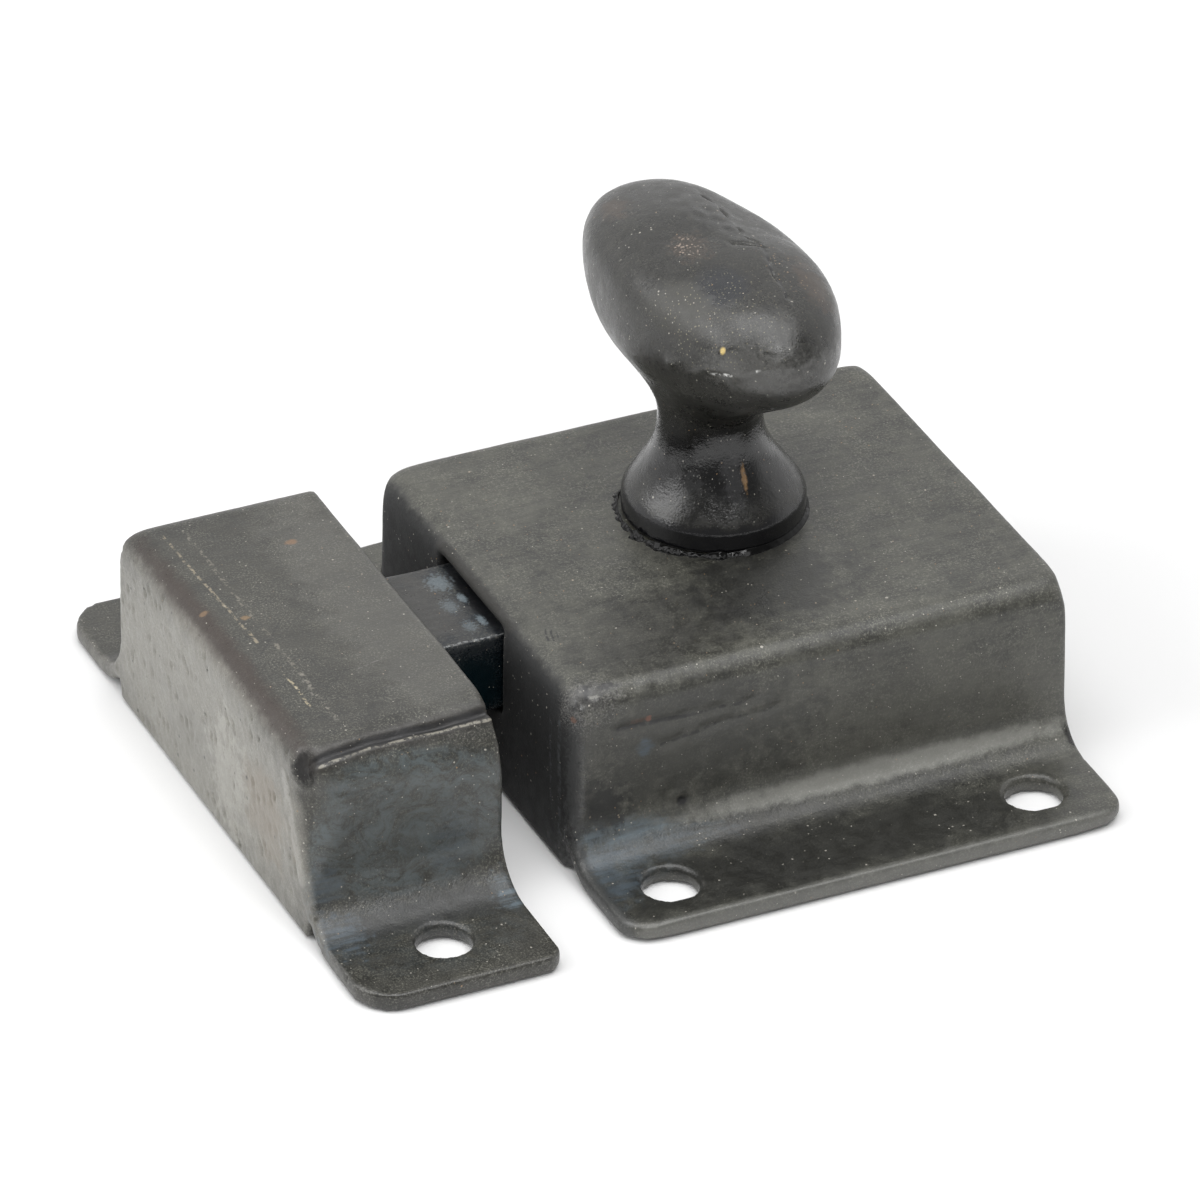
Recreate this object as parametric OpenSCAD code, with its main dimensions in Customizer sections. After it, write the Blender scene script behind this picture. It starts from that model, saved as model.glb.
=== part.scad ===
// Surface cabinet latch: a folded steel case with a turning oval knob and a spring
// bolt, and the folded keep that the bolt shoots into. Millimetres, +Z away from the
// cupboard. Origin: middle of the case on the mounting surface. The bolt points to -X.

/* [Case] */
// Length of the case along the bolt
case_length = 50; // [48:0.5:60]
// Width of the case over its front and back walls
case_width = 43.4; // [41:0.2:52]
// Height of the case above the mounting surface
case_height = 18.5; // [17.5:0.1:22]
// Width over the edges of the two screw flanges
case_span = 69.2; // [67:0.2:84]
// Thickness of the folded sheet
sheet = 1.6; // [1.2:0.1:2]
// Outside radius of the bends above the front wall and the bolt's end
case_edge_r = 2.4; // [2.1:0.1:4]
// Outside radius of the bend above the back wall
case_back_r = 1.3; // [0.4:0.1:4]
// Outside radius of the upright corners at the bolt's end
case_corner_r = 2.2; // [2.1:0.1:4]
// Radius of the welded edges round the far end wall
case_far_r = 0.4; // [0.2:0.1:4]
// Radius of the hollow between wall and flange
case_foot_r = 4; // [2:0.1:5]
// Corner radius of the case's flanges
case_flange_corner = 2.8; // [1:0.1:4]

/* [Keep] */
// Gap between the keep and the case
keep_gap = 6.5; // [4:0.1:9]
// Length of the keep along the bolt
keep_length = 19.2; // [17:0.2:26]
// Width of the keep over its front and back walls
keep_width = 43.4; // [41:0.2:52]
// How much lower the keep's top stands than the case's
keep_drop = 0.1; // [0:0.1:0.5]
// Width over the edges of the keep's flanges
keep_span = 70.8; // [69:0.2:84]
// Outside radius of the bend above the keep's closed end
keep_edge_r = 2.5; // [2.1:0.1:4]
// Outside radius of the bend above the keep's front wall
keep_front_r = 4; // [2.1:0.1:5]
// Outside radius of the bend above the keep's back wall
keep_back_r = 1.7; // [0.4:0.1:5]
// Radius of the hollow between the keep's walls and flanges
keep_foot_r = 5; // [2:0.1:5.5]
// Radius of the flange corners on the keep's closed side
keep_closed_corner = 4; // [1:0.1:4.5]
// Radius of the flange corners on the keep's open side
keep_open_corner = 1.8; // [0.6:0.1:3]

/* [Screw holes] */
// Distance of the case's holes from the ends of its flanges
screw_end_inset = 6.8; // [5:0.1:9]
// Distance of the case's holes from the long edges of its flanges
screw_edge_inset = 5.8; // [4.5:0.1:7]
// Distance of the keep's holes from the outer edges of its flanges
keep_screw_inset = 6.5; // [4.5:0.1:7.5]
// How far the keep's holes stand off its middle, towards the case
keep_screw_shift = 0.6; // [0:0.1:1.5]
// Bore of the screw holes
screw_hole_d = 5.2; // [4:0.1:5.4]
// Depth of the broken edge round each hole
screw_edge = 0.2; // [0.1:0.1:0.8]

/* [Knob] */
// Place of the spindle along the case
spindle_x = 0.6; // [-1:0.1:1.5]
// Distance of the spindle from the middle of the bolt
spindle_offset = 2.7; // [2:0.1:3.2]
// Diameter of the bell foot
foot_d = 17.1; // [14:0.1:20]
// Height of the upright rim of the foot
foot_rim = 1.9; // [1:0.1:3]
// Diameter of the neck
neck_d = 9.7; // [8:0.1:11]
// Height of the top of the bell above the case
bell_height = 10.4; // [8:0.1:12]
// Height of the widest part of the head above the case
head_middle = 22.8; // [20:0.1:28]
// Rise of the dome above the widest part
dome_rise = 6.4; // [5:0.1:9]
// Length of the oval head
head_length = 34.4; // [28:0.2:40]
// Width of the oval head
head_width = 18.8; // [14:0.2:24]
// Turn of the head from straight across the bolt, in degrees
head_turn = 4; // [0:0.5:10]

/* [Spindle and crank] */
// Diameter of the spindle
spindle_d = 7; // [6.6:0.1:7.6]
// Side of the square tenon under the spindle
tenon = 3.6; // [3:0.1:4]
// Outside diameter of the washer under the case's top
washer_d = 10.6; // [9:0.1:10.8]
// Thickness of that washer
washer_t = 0.8; // [0.5:0.1:1]
// Thickness of the crank
crank_t = 2.4; // [2:0.1:2.8]
// Radius of the crank's hub
crank_hub_r = 5; // [4.6:0.1:5.2]
// Radius of the crank's pin end
crank_end_r = 3.4; // [2.8:0.1:3.6]
// Diameter of the crank pin
pin_d = 4; // [3.4:0.1:4.4]
// Height of the hammered head under the tenon
peen_t = 0.8; // [0.6:0.1:1]

/* [Bolt] */
// Travel of the bolt for a quarter turn of the knob
bolt_throw = 7; // [6:0.1:7.5]
// Width of the bolt's nose
bolt_width = 13.2; // [11:0.1:15]
// Height of the bolt's nose
bolt_height = 8; // [7:0.1:9]
// Depth to which the bolt stands in the keep
bolt_engagement = 6; // [4:0.1:6.5]
// Distance of the bolt from the middle of the case
bolt_offset = 0.4; // [-1:0.1:1.5]
// Length of the slope under the tip
bevel_length = 5; // [3:0.1:5.5]
// Height of that slope
bevel_height = 4.8; // [3:0.1:5.5]
// Thickness of the upturned spring seat
seat_t = 2.5; // [2:0.1:3]

/* [Spring and guide] */
// Outside diameter of the spring
spring_d = 7; // [6.4:0.1:7.4]
// Diameter of the spring wire
wire_d = 0.9; // [0.7:0.1:1]
// Turns of the spring, closed end turns included
spring_turns = 6; // [5:0.5:6]
// Length of the peg in the fixed end of the spring
peg_length = 4; // [3:0.1:4]
// Width of the guide strap along the bolt
guide_width = 8; // [6:0.5:9]
// Length of the strap's welded feet
guide_foot = 5.5; // [4:0.1:7]

/* [Clearances] */
// Running gap round the spindle
spindle_gap = 0.05; // [0.03:0.01:0.1]
// Gap between flat faces that turn or slide on each other
slide_gap = 0.2; // [0.1:0.05:0.3]
// Gap between the crank pin and its slot
pin_gap = 0.3; // [0.25:0.05:0.4]
// Gap between the bolt's nose and the slot in the case
slot_gap = 0.5; // [0.3:0.1:0.7]
// Gap round fixed pieces that are pressed or hammered tight
press_gap = 0.02; // [0.01:0.01:0.05]

/* [Hidden] */
$fn = 64;
cut = 1;

// Places along the bolt
hub_reach = max(crank_hub_r, washer_d / 2);
case_x = case_length / 2;
case_inner_x = case_x - sheet;
keep_open_x = -case_x - keep_gap;
keep_closed_x = keep_open_x - keep_length;
keep_screw_x = (keep_open_x + keep_closed_x) / 2 + keep_screw_shift;
bolt_tip_x = keep_open_x - bolt_engagement;
crank_angle = 225;
crank_sweep = bolt_throw / sqrt(2);
pin_rest_x = spindle_x - bolt_throw / 2;
hub_room = 1.6;
nose_back_x = spindle_x - hub_reach - bolt_throw - 2 * hub_room;
seat_front_x = spindle_x + hub_reach + hub_room;
seat_face_x = seat_front_x + seat_t;
spring_length = case_inner_x - seat_face_x;

// Places across the bolt
spindle_y = bolt_offset + spindle_offset;
hub_side_room = 0.5;
tail_width = 2 * (spindle_offset + hub_reach + hub_side_room);
guide_inner = tail_width / 2 + slide_gap;

// Levels, from the case's top down
keep_height = case_height - keep_drop;
top_under = case_height - sheet;
washer_bottom = top_under - slide_gap / 2 - washer_t;
crank_bottom = washer_bottom - crank_t;
peen_bottom = crank_bottom - peen_t;
bolt_top = top_under - 2 * slide_gap;
bolt_bottom = bolt_top - bolt_height;
tail_top = peen_bottom - slide_gap;
spring_z = (bolt_top + bolt_bottom) / 2;
spring_inner_r = spring_d / 2 - wire_d;
peg_r = spring_inner_r - pin_gap;

// Smallest and largest distance of the crank pin from the spindle across the bolt
pin_near = crank_sweep * cos(45);
pin_far = crank_sweep;
slot_r = pin_d / 2 + pin_gap;
pin_neck_d = pin_d - 1;
peen_r = crank_sweep - pin_d / 2 - slide_gap;

steel = [0.17, 0.165, 0.16];
dark_steel = [0.12, 0.12, 0.135];
iron = [0.14, 0.135, 0.13];
bright_steel = [0.55, 0.55, 0.56];

// Radius of a bend on a skin that lies one inset further in
function inset_r(r, inset) = max(r - inset, 0.1);

// A block from low to high, seen end on, from the level base up, its upper edges rounded
module rounded_top(low, high, base, height, r_low, r_high) {
    translate([low, base]) square([r_low, height - r_low - base]);
    translate([low + r_low, base]) square([high - low - r_low - r_high, height - base]);
    translate([high - r_high, base]) square([r_high, height - r_high - base]);
    translate([low + r_low, height - r_low]) circle(r_low);
    translate([high - r_high, height - r_high]) circle(r_high);
}

// A rectangle with its own radius on the low-x and the high-x corners
module rounded_rect(x0, x1, width, r0, r1) {
    translate([x0 + r0, -width / 2]) square([x1 - x0 - r0 - r1, width]);
    translate([x0, r0 - width / 2]) square([r0, width - 2 * r0]);
    translate([x1 - r1, r1 - width / 2]) square([r1, width - 2 * r1]);
    for (side = [-1, 1]) {
        translate([x0 + r0, side * (width / 2 - r0)]) circle(r0);
        translate([x1 - r1, side * (width / 2 - r1)]) circle(r1);
    }
}

// Profiles drawn end on or from the side are carried along or across the bolt
module along_bolt(x0, x1) {
    translate([x0, 0, 0]) rotate([90, 0, 90]) linear_extrude(x1 - x0) children();
}

module across_bolt(width) {
    translate([0, width / 2, 0]) rotate([90, 0, 0]) linear_extrude(width) children();
}

// The bend from a wall into its flange, and the flange, seen end on for the +Y side
module flange_section(width, span, foot_r) {
    bend_y = width / 2 + foot_r;
    translate([bend_y, 0]) square([span / 2 - bend_y, sheet]);
    intersection() {
        translate([bend_y - foot_r - sheet, 0]) square(foot_r + sheet);
        translate([bend_y, foot_r + sheet]) difference() {
            circle(foot_r + sheet);
            circle(foot_r);
        }
    }
}

// Both flanges of a folded piece, with rounded corners and drilled for screws
module flanges(x0, x1, width, span, foot_r, r0, r1) {
    intersection() {
        along_bolt(x0, x1) for (side = [0, 1]) mirror([side, 0]) flange_section(width, span, foot_r);
        linear_extrude(foot_r + 2 * sheet) rounded_rect(x0, x1, span, r0, r1);
    }
}

// A screw hole through a flange and the foot of its bend, its upper edge broken
module screw_hole(foot_r) {
    translate([0, 0, -cut]) cylinder(d = screw_hole_d, h = sheet + foot_r + cut);
    translate([0, 0, sheet - screw_edge])
        cylinder(d1 = screw_hole_d, d2 = screw_hole_d + 4 * screw_edge, h = 2 * screw_edge);
}

// Cuts away the foot of the front and back walls, where the bend to the flange begins
module wall_feet(x0, x1, width, foot_r) {
    for (side = [-1, 1]) translate([x0, side * width / 2 - sheet - cut, -cut])
        cube([x1 - x0, 2 * (sheet + cut), cut + sheet + foot_r]);
}

// The case as a rounded block, smaller by one inset on all sides that are closed
module case_block(inset) {
    x = case_x - inset;
    y = case_width / 2 - inset;
    height = case_height - inset;
    base = inset > 0 ? -cut : 0;
    edge = inset_r(case_edge_r, inset);
    far = inset_r(case_far_r, inset);
    intersection() {
        along_bolt(-x, x) rounded_top(-y, y, base, height, edge, inset_r(case_back_r, inset));
        across_bolt(2 * y) rounded_top(-x, x, base, height, edge, far);
        translate([0, 0, base]) linear_extrude(height - base)
            rounded_rect(-x, x, 2 * y, inset_r(case_corner_r, inset), far);
    }
}

// Folded box open at the back, with two flanges, the bolt's slot and the spindle hole
module case() {
    color(steel) difference() {
        union() {
            difference() {
                case_block(0);
                case_block(sheet);
                wall_feet(-case_inner_x, case_inner_x, case_width, case_foot_r);
            }
            flanges(-case_x, case_x, case_width, case_span, case_foot_r, case_flange_corner,
                    case_flange_corner);
        }
        for (x = [-1, 1], y = [-1, 1])
            translate([x * (case_x - screw_end_inset), y * (case_span / 2 - screw_edge_inset), 0])
                screw_hole(case_foot_r);
        translate([spindle_x, spindle_y, top_under - cut])
            cylinder(d = spindle_d + 2 * spindle_gap, h = sheet + 2 * cut);
        bolt_slot();
    }
}

// Window for the bolt in the end wall, running up into the bend
module bolt_slot() {
    low = bolt_bottom - slot_gap;
    translate([-case_x - cut, bolt_offset - bolt_width / 2 - slot_gap, low])
        cube([cut + case_edge_r, bolt_width + 2 * slot_gap, bolt_top + slot_gap + slide_gap - low]);
}

// The keep as a block with rounded top bends, open on the side that faces the case
module keep_block(inset) {
    x0 = keep_closed_x + inset;
    x1 = keep_open_x + (inset > 0 ? cut : 0);
    y = keep_width / 2 - inset;
    height = keep_height - inset;
    base = inset > 0 ? -cut : 0;
    edge = inset_r(keep_edge_r, inset);
    intersection() {
        along_bolt(x0, x1) rounded_top(-y, y, base, height, inset_r(keep_front_r, inset),
                                       inset_r(keep_back_r, inset));
        across_bolt(2 * y) {
            translate([x0, base]) square([x1 - x0, height - edge - base]);
            translate([x0 + edge, base]) square([x1 - x0 - edge, height - base]);
            translate([x0 + edge, height - edge]) circle(edge);
        }
    }
}

// Folded keep: top, closed end, two walls with flanges, open at the back and to the bolt
module keep() {
    color(steel) difference() {
        union() {
            difference() {
                keep_block(0);
                keep_block(sheet);
                wall_feet(keep_closed_x + sheet, keep_open_x + cut, keep_width, keep_foot_r);
            }
            flanges(keep_closed_x, keep_open_x, keep_width, keep_span, keep_foot_r, keep_closed_corner,
                    keep_open_corner);
        }
        for (side = [-1, 1])
            translate([keep_screw_x, side * (keep_span / 2 - keep_screw_inset), 0])
                screw_hole(keep_foot_r);
    }
}

// Radius of the bell at a share k of the way from the rim up to the neck
function bell_r(k) = neck_d / 2 + (foot_d - neck_d) / 2 * pow(1 - pow(k, 2.6), 3.8);

// Share of the head's full spread at a share k of the way up from the neck, and up the dome
function flare(k) = pow(1 - pow(1 - k, 2.2), 2.4);
function dome(k) = pow(1 - pow(k, 2.6), 1 / 2.6);

// Sections of the head: height above the case, half length, half width
function head_section(height, spread) = [
    height,
    neck_d / 2 + (head_length - neck_d) / 2 * spread,
    neck_d / 2 + (head_width - neck_d) / 2 * spread];
flare_steps = 14;
dome_steps = 12;
head_sides = 56;
flare_rise = head_middle - bell_height;
head_sections = concat(
    [for (i = [0 : flare_steps]) let (k = i / flare_steps)
        head_section(bell_height + flare_rise * k, flare(k))],
    [for (i = [1 : dome_steps - 1]) let (k = sin(90 * i / dome_steps))
        [head_middle + dome_rise * k, head_length / 2 * dome(k), head_width / 2 * dome(k)]]);

// Oval head: rings of an ellipse from the neck to the top of the dome, closed by two fans
module head() {
    rings = len(head_sections);
    ring_points = [for (s = head_sections, j = [0 : head_sides - 1]) let (a = 360 * j / head_sides)
        [s[2] * cos(a), s[1] * sin(a), s[0]]];
    low = rings * head_sides;
    function at(i, j) = i * head_sides + j % head_sides;
    polyhedron(
        points = concat(ring_points, [[0, 0, bell_height], [0, 0, head_middle + dome_rise]]),
        faces = concat(
            [for (i = [0 : rings - 2], j = [0 : head_sides - 1])
                [at(i, j), at(i + 1, j), at(i, j + 1)]],
            [for (i = [0 : rings - 2], j = [0 : head_sides - 1])
                [at(i, j + 1), at(i + 1, j), at(i + 1, j + 1)]],
            [for (j = [0 : head_sides - 1]) [low, at(0, j), at(0, j + 1)]],
            [for (j = [0 : head_sides - 1]) [low + 1, at(rings - 1, j + 1), at(rings - 1, j)]]));
}

// Cast knob: oval head, neck and bell foot, with the spindle, square tenon and hammered end
module knob() {
    bell_steps = 14;
    rim_round = 0.4;
    lift = slide_gap / 2;
    color(iron) translate([spindle_x, spindle_y, 0]) {
        translate([0, 0, case_height]) {
            rotate(head_turn) head();
            rotate_extrude() polygon(concat(
                [[0, lift], [foot_d / 2 - rim_round, lift], [foot_d / 2, rim_round + lift]],
                [for (i = [0 : bell_steps]) let (k = i / bell_steps)
                    [bell_r(k), foot_rim + (bell_height - foot_rim) * k]],
                [[0, bell_height]]));
        }
        translate([0, 0, washer_bottom])
            cylinder(d = spindle_d, h = case_height + foot_rim / 2 - washer_bottom);
        rotate(crank_angle) translate([-tenon / 2, -tenon / 2, peen_bottom + peen_t / 2])
            cube([tenon, tenon, washer_bottom - peen_bottom]);
        translate([0, 0, peen_bottom]) cylinder(r1 = 0.8 * peen_r, r2 = peen_r, h = peen_t);
    }
}

// Washer that the spindle runs in, under the case's top
module spindle_washer() {
    color(bright_steel) translate([spindle_x, spindle_y, washer_bottom]) difference() {
        cylinder(d = washer_d, h = washer_t);
        translate([0, 0, -cut]) cylinder(d = spindle_d + 2 * spindle_gap, h = washer_t + 2 * cut);
    }
}

// Places the crank's own frame: spindle at the origin, pin straight out along +X
module crank_frame() {
    translate([spindle_x, spindle_y, 0]) rotate(crank_angle) children();
}

// Crank: hub and pin end joined by a straight web, on the square tenon
module crank() {
    hole = tenon + 2 * press_gap;
    web = 0.9 * crank_end_r;
    color(dark_steel) translate([0, 0, crank_bottom]) crank_frame() difference() {
        linear_extrude(crank_t) {
            circle(crank_hub_r);
            translate([crank_sweep, 0]) circle(crank_end_r);
            translate([0, -web]) square([crank_sweep, 2 * web]);
        }
        translate([-hole / 2, -hole / 2, -cut]) cube([hole, hole, crank_t + 2 * cut]);
        translate([crank_sweep, 0, -cut]) cylinder(d = pin_neck_d + 2 * press_gap, h = crank_t + 2 * cut);
    }
}

// Shouldered pin, hammered into the crank, that draws the bolt back
module crank_pin() {
    color(bright_steel) crank_frame() translate([crank_sweep, 0, 0]) {
        translate([0, 0, bolt_bottom + slide_gap])
            cylinder(d = pin_d, h = crank_bottom - bolt_bottom - slide_gap);
        translate([0, 0, crank_bottom - cut]) cylinder(d = pin_neck_d, h = crank_t + cut);
    }
}

// Bolt: bevelled nose, wide tail under the crank, cross slot for the pin, upturned spring seat
module bolt() {
    tail_front_x = -case_inner_x + slide_gap / 2;
    color(dark_steel) difference() {
        translate([0, bolt_offset, 0]) union() {
            translate([bolt_tip_x, -bolt_width / 2, bolt_bottom])
                cube([nose_back_x - bolt_tip_x, bolt_width, bolt_height]);
            translate([tail_front_x, -tail_width / 2, bolt_bottom])
                cube([seat_face_x - tail_front_x, tail_width, tail_top - bolt_bottom]);
            translate([seat_front_x, -tail_width / 2, bolt_bottom]) cube([seat_t, tail_width, bolt_height]);
            translate([seat_face_x - cut, 0, spring_z]) rotate([0, 90, 0])
                cylinder(r = peg_r, h = peg_length / 2 + cut);
        }
        pin_slot();
        tip_bevel();
    }
}

// Cross slot of the bolt, as long as the pin needs on its quarter turn
module pin_slot() {
    translate([pin_rest_x, 0, bolt_bottom - cut]) linear_extrude(tail_top - bolt_bottom + 2 * cut) {
        for (y = [pin_near, pin_far]) translate([0, spindle_y - y]) circle(slot_r);
        translate([-slot_r, spindle_y - pin_far]) square([2 * slot_r, pin_far - pin_near]);
    }
}

// Slope under the tip, on which the bolt rides over the edge of the keep
module tip_bevel() {
    translate([bolt_tip_x, bolt_offset, bolt_bottom]) across_bolt(bolt_width + 2 * cut)
        polygon([[-cut, -cut], [bevel_length, -cut], [bevel_length, 0], [0, bevel_height],
                 [-cut, bevel_height]]);
}

// Saddle strap that carries the bolt's tail, its feet welded under the case's top
module bolt_guide() {
    floor_top = bolt_bottom - slide_gap;
    outer = guide_inner + sheet;
    middle_x = spindle_x;
    color(steel) translate([middle_x, bolt_offset, 0]) along_bolt(-guide_width / 2, guide_width / 2) {
        translate([-outer, floor_top - sheet]) square([2 * outer, sheet]);
        for (side = [0, 1]) mirror([side, 0]) {
            translate([guide_inner, floor_top - sheet]) square([sheet, top_under - floor_top + sheet]);
            translate([guide_inner, top_under - sheet]) square([sheet + guide_foot, sheet]);
        }
    }
}

// Height along the spring's axis at turn t: close end turns, even pitch between them
closed_pitch = wire_d * 1.1;
function coil_rise(t, free_pitch) =
    let (free_turns = min(max(t - 1, 0), spring_turns - 2))
    closed_pitch * (t - free_turns) + free_pitch * free_turns;

// Coil spring between the bolt's seat and the end wall: rings of the wire along the helix
module spring() {
    ring_step = 1 / 16;
    wire_sides = 8;
    rise = spring_length - wire_d - 2 * press_gap;
    free_pitch = (rise - 2 * closed_pitch) / (spring_turns - 2);
    coil_r = (spring_d - wire_d) / 2;
    rings = floor(spring_turns / ring_step);
    wire = [for (i = [0 : rings], j = [0 : wire_sides - 1])
        let (t = i * ring_step, a = 360 * t, b = 360 * j / wire_sides, r = coil_r + wire_d / 2 * cos(b))
        [r * cos(a), r * sin(a), coil_rise(t, free_pitch) + wire_d / 2 * sin(b)]];
    function at(i, j) = i * wire_sides + j % wire_sides;
    color(bright_steel) translate([seat_face_x + press_gap + wire_d / 2, bolt_offset, spring_z])
        rotate([0, 90, 0]) polyhedron(points = wire, faces = concat(
            [[for (j = [0 : wire_sides - 1]) at(0, j)]],
            [[for (j = [wire_sides - 1 : -1 : 0]) at(rings, j)]],
            [for (i = [0 : rings - 1], j = [0 : wire_sides - 1])
                [at(i, j + 1), at(i, j), at(i + 1, j)]],
            [for (i = [0 : rings - 1], j = [0 : wire_sides - 1])
                [at(i, j + 1), at(i + 1, j), at(i + 1, j + 1)]]));
}

// Peg welded inside the end wall, in the fixed end of the spring
module spring_peg() {
    color(steel) translate([case_inner_x - peg_length, bolt_offset, spring_z]) rotate([0, 90, 0])
        cylinder(r = peg_r, h = peg_length);
}

case();
keep();
knob();
spindle_washer();
crank();
crank_pin();
bolt();
bolt_guide();
spring();
spring_peg();
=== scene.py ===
from math import cos, pi, radians, sin

import bmesh
import bpy
import numpy as np
from mathutils import Matrix, Vector


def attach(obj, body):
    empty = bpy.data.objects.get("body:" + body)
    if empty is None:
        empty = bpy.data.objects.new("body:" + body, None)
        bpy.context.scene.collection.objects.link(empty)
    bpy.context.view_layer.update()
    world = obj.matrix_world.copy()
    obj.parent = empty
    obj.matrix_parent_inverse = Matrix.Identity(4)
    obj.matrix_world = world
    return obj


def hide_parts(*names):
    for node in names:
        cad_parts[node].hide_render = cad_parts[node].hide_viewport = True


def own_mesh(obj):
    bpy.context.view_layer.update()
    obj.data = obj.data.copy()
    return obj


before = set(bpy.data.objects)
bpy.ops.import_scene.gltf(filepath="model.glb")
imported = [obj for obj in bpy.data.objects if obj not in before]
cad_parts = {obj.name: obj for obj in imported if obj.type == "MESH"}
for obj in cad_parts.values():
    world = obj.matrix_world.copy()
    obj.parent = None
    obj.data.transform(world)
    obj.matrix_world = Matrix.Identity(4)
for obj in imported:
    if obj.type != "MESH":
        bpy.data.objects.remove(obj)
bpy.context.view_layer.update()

MM = 0.001

# Sizes and places on the solids, in millimetres. The origin lies under the middle of the case,
# on the mounting plane.
CASE_TOP = 18.5
KEEP_TOP = 18.4
FRONT_WALL = -21.7
KEEP_END_WALL = -50.7
SPINDLE = (0.6, 3.1)
KNOB_FOOT = 17.1 / 2

# The floor lies this far under the mounting plane, for the dark line under the flanges
FLOOR_DROP = 0.30

scene = bpy.context.scene
scene.view_settings.view_transform = "Standard"


def show(name, mesh):
    """Puts a mesh into the scene as an object at the origin, with smooth shading."""
    mesh.shade_smooth()
    piece = bpy.data.objects.new(name, mesh)
    scene.collection.objects.link(piece)
    return piece


# Smooth shapes that lumps, dents and marks are worked out from


def waves(points, size, seed, count=26):
    """Smooth lumps of about one size: the sum of sine waves that run in random directions,
    scaled so that its usual height is 1."""
    random = np.random.default_rng(seed)
    way = random.normal(size=(3, count))
    way /= np.linalg.norm(way, axis=0)
    pace = 2 * pi / size * random.uniform(0.7, 1.4, count)
    start = random.uniform(0, 2 * pi, count)
    return np.sin(points @ (way * pace) + start).sum(1) / np.sqrt(count / 2)


def lumps(points, *layers):
    """The sum of smooth lumps. Each layer is (height, size, seed)."""
    return sum(height * waves(points, size, seed) for height, size, seed in layers)


def fall(distance, reach):
    """A bell curve: 1 at no distance, and near 0 from twice the reach on."""
    return np.exp(-((distance / reach) ** 2))


def egg(points, middle, reach):
    """A bell curve round a middle, whose reach has three lengths."""
    return fall(np.linalg.norm((points - middle) / reach, axis=1), 1.0)


def step(value, low, high):
    """An S curve: 0 below low, 1 above high, with level ends."""
    k = np.clip((value - low) / (high - low), 0, 1)
    return k * k * (3 - 2 * k)


def away_from(points, line):
    """Distance of each point from a line of straight stretches: the least over the stretches
    of the distance to the nearest point of each."""
    line = np.asarray(line, float)
    best = np.full(len(points), 1e9)
    for a, b in zip(line[:-1], line[1:]):
        run = b - a
        k = np.clip((points - a) @ run / (run @ run), 0, 1)
        best = np.minimum(best, np.linalg.norm(points - a - k[:, None] * run, axis=1))
    return best


# Meshes


def grid_mesh(name, points, closed_u=False, closed_v=False, ends=False):
    """Mesh over a grid of points, rows by columns. A closed side joins its last line to its
    first, and ends closes the first and the last row with one face each."""
    rows, columns = points.shape[:2]
    u = np.arange(rows if closed_u else rows - 1)[:, None]
    v = np.arange(columns if closed_v else columns - 1)[None, :]
    u2, v2 = (u + 1) % rows, (v + 1) % columns
    at = lambda a, b: (a * columns + b).ravel()
    faces = np.stack([at(u, v), at(u, v2), at(u2, v2), at(u2, v)], 1).tolist()
    if ends:
        first = np.arange(columns)
        faces += [first[::-1].tolist(), (first + (rows - 1) * columns).tolist()]
    mesh = bpy.data.meshes.new(name)
    mesh.from_pydata((points.reshape(-1, 3) * MM).tolist(), [], faces)
    mesh.validate()
    return mesh


def worked_skin(node, name, square, eases):
    """A solid's own skin, merged, laid out anew in even small squares and eased, so that its
    edges are softly broken and every face has enough points to carry dents."""
    bm = bmesh.new()
    bm.from_mesh(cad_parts[node].data)
    bmesh.ops.remove_doubles(bm, verts=bm.verts, dist=1e-6)
    raw = bpy.data.meshes.new(name + "_raw")
    bm.to_mesh(raw)
    bm.free()
    carrier = bpy.data.objects.new(name + "_raw", raw)
    scene.collection.objects.link(carrier)
    squares = carrier.modifiers.new("squares", "REMESH")
    squares.mode, squares.voxel_size, squares.adaptivity = "VOXEL", square * MM, 0
    ease = carrier.modifiers.new("ease", "SMOOTH")
    ease.factor, ease.iterations = 0.5, eases
    graph = bpy.context.evaluated_depsgraph_get()
    mesh = bpy.data.meshes.new_from_object(carrier.evaluated_get(graph))
    mesh.name = name
    bpy.data.objects.remove(carrier)
    bpy.data.meshes.remove(raw)
    return mesh


def read_points(mesh):
    """Points and outward normals of a mesh, the points in millimetres."""
    points = np.empty(len(mesh.vertices) * 3, np.float32)
    normals = np.empty_like(points)
    mesh.vertices.foreach_get("co", points)
    mesh.vertex_normals.foreach_get("vector", normals)
    return points.reshape(-1, 3).astype(float) / MM, normals.reshape(-1, 3).astype(float)


def write_points(mesh, points):
    """Moves a mesh's points to new places, given in millimetres."""
    mesh.vertices.foreach_set("co", (points * MM).astype(np.float32).ravel())
    mesh.update()


def neighbour_mean(mesh):
    """A function that gives, for one value per point, the mean over the points it has edges to."""
    ends = np.empty(len(mesh.edges) * 2, np.int32)
    mesh.edges.foreach_get("vertices", ends)
    a, b = ends.reshape(-1, 2).T
    count = len(mesh.vertices)
    number = np.maximum(np.bincount(a, minlength=count) + np.bincount(b, minlength=count), 1)

    def mean(values):
        return (np.bincount(a, values[b], count) + np.bincount(b, values[a], count)) / number

    return mean


def ease_near(mesh, points, middles, reach, rounds):
    """Rounds off what lies near some points: each round moves a point half way to the mean of its
    neighbours, by a share that falls off with its distance from the nearest of the middles."""
    mean = neighbour_mean(mesh)
    apart = np.min([np.linalg.norm(points - m, axis=1) for m in np.asarray(middles, float)], axis=0)
    share = 0.5 * fall(apart, reach)[:, None]
    for _ in range(rounds):
        points = points + share * (np.stack([mean(c) for c in points.T], 1) - points)
    return points


def note(mesh, name, values):
    """Stores one number for each point, for the finishes."""
    kept = mesh.attributes.new(name, "FLOAT", "POINT")
    kept.data.foreach_set("value", values.astype(np.float32))


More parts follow.
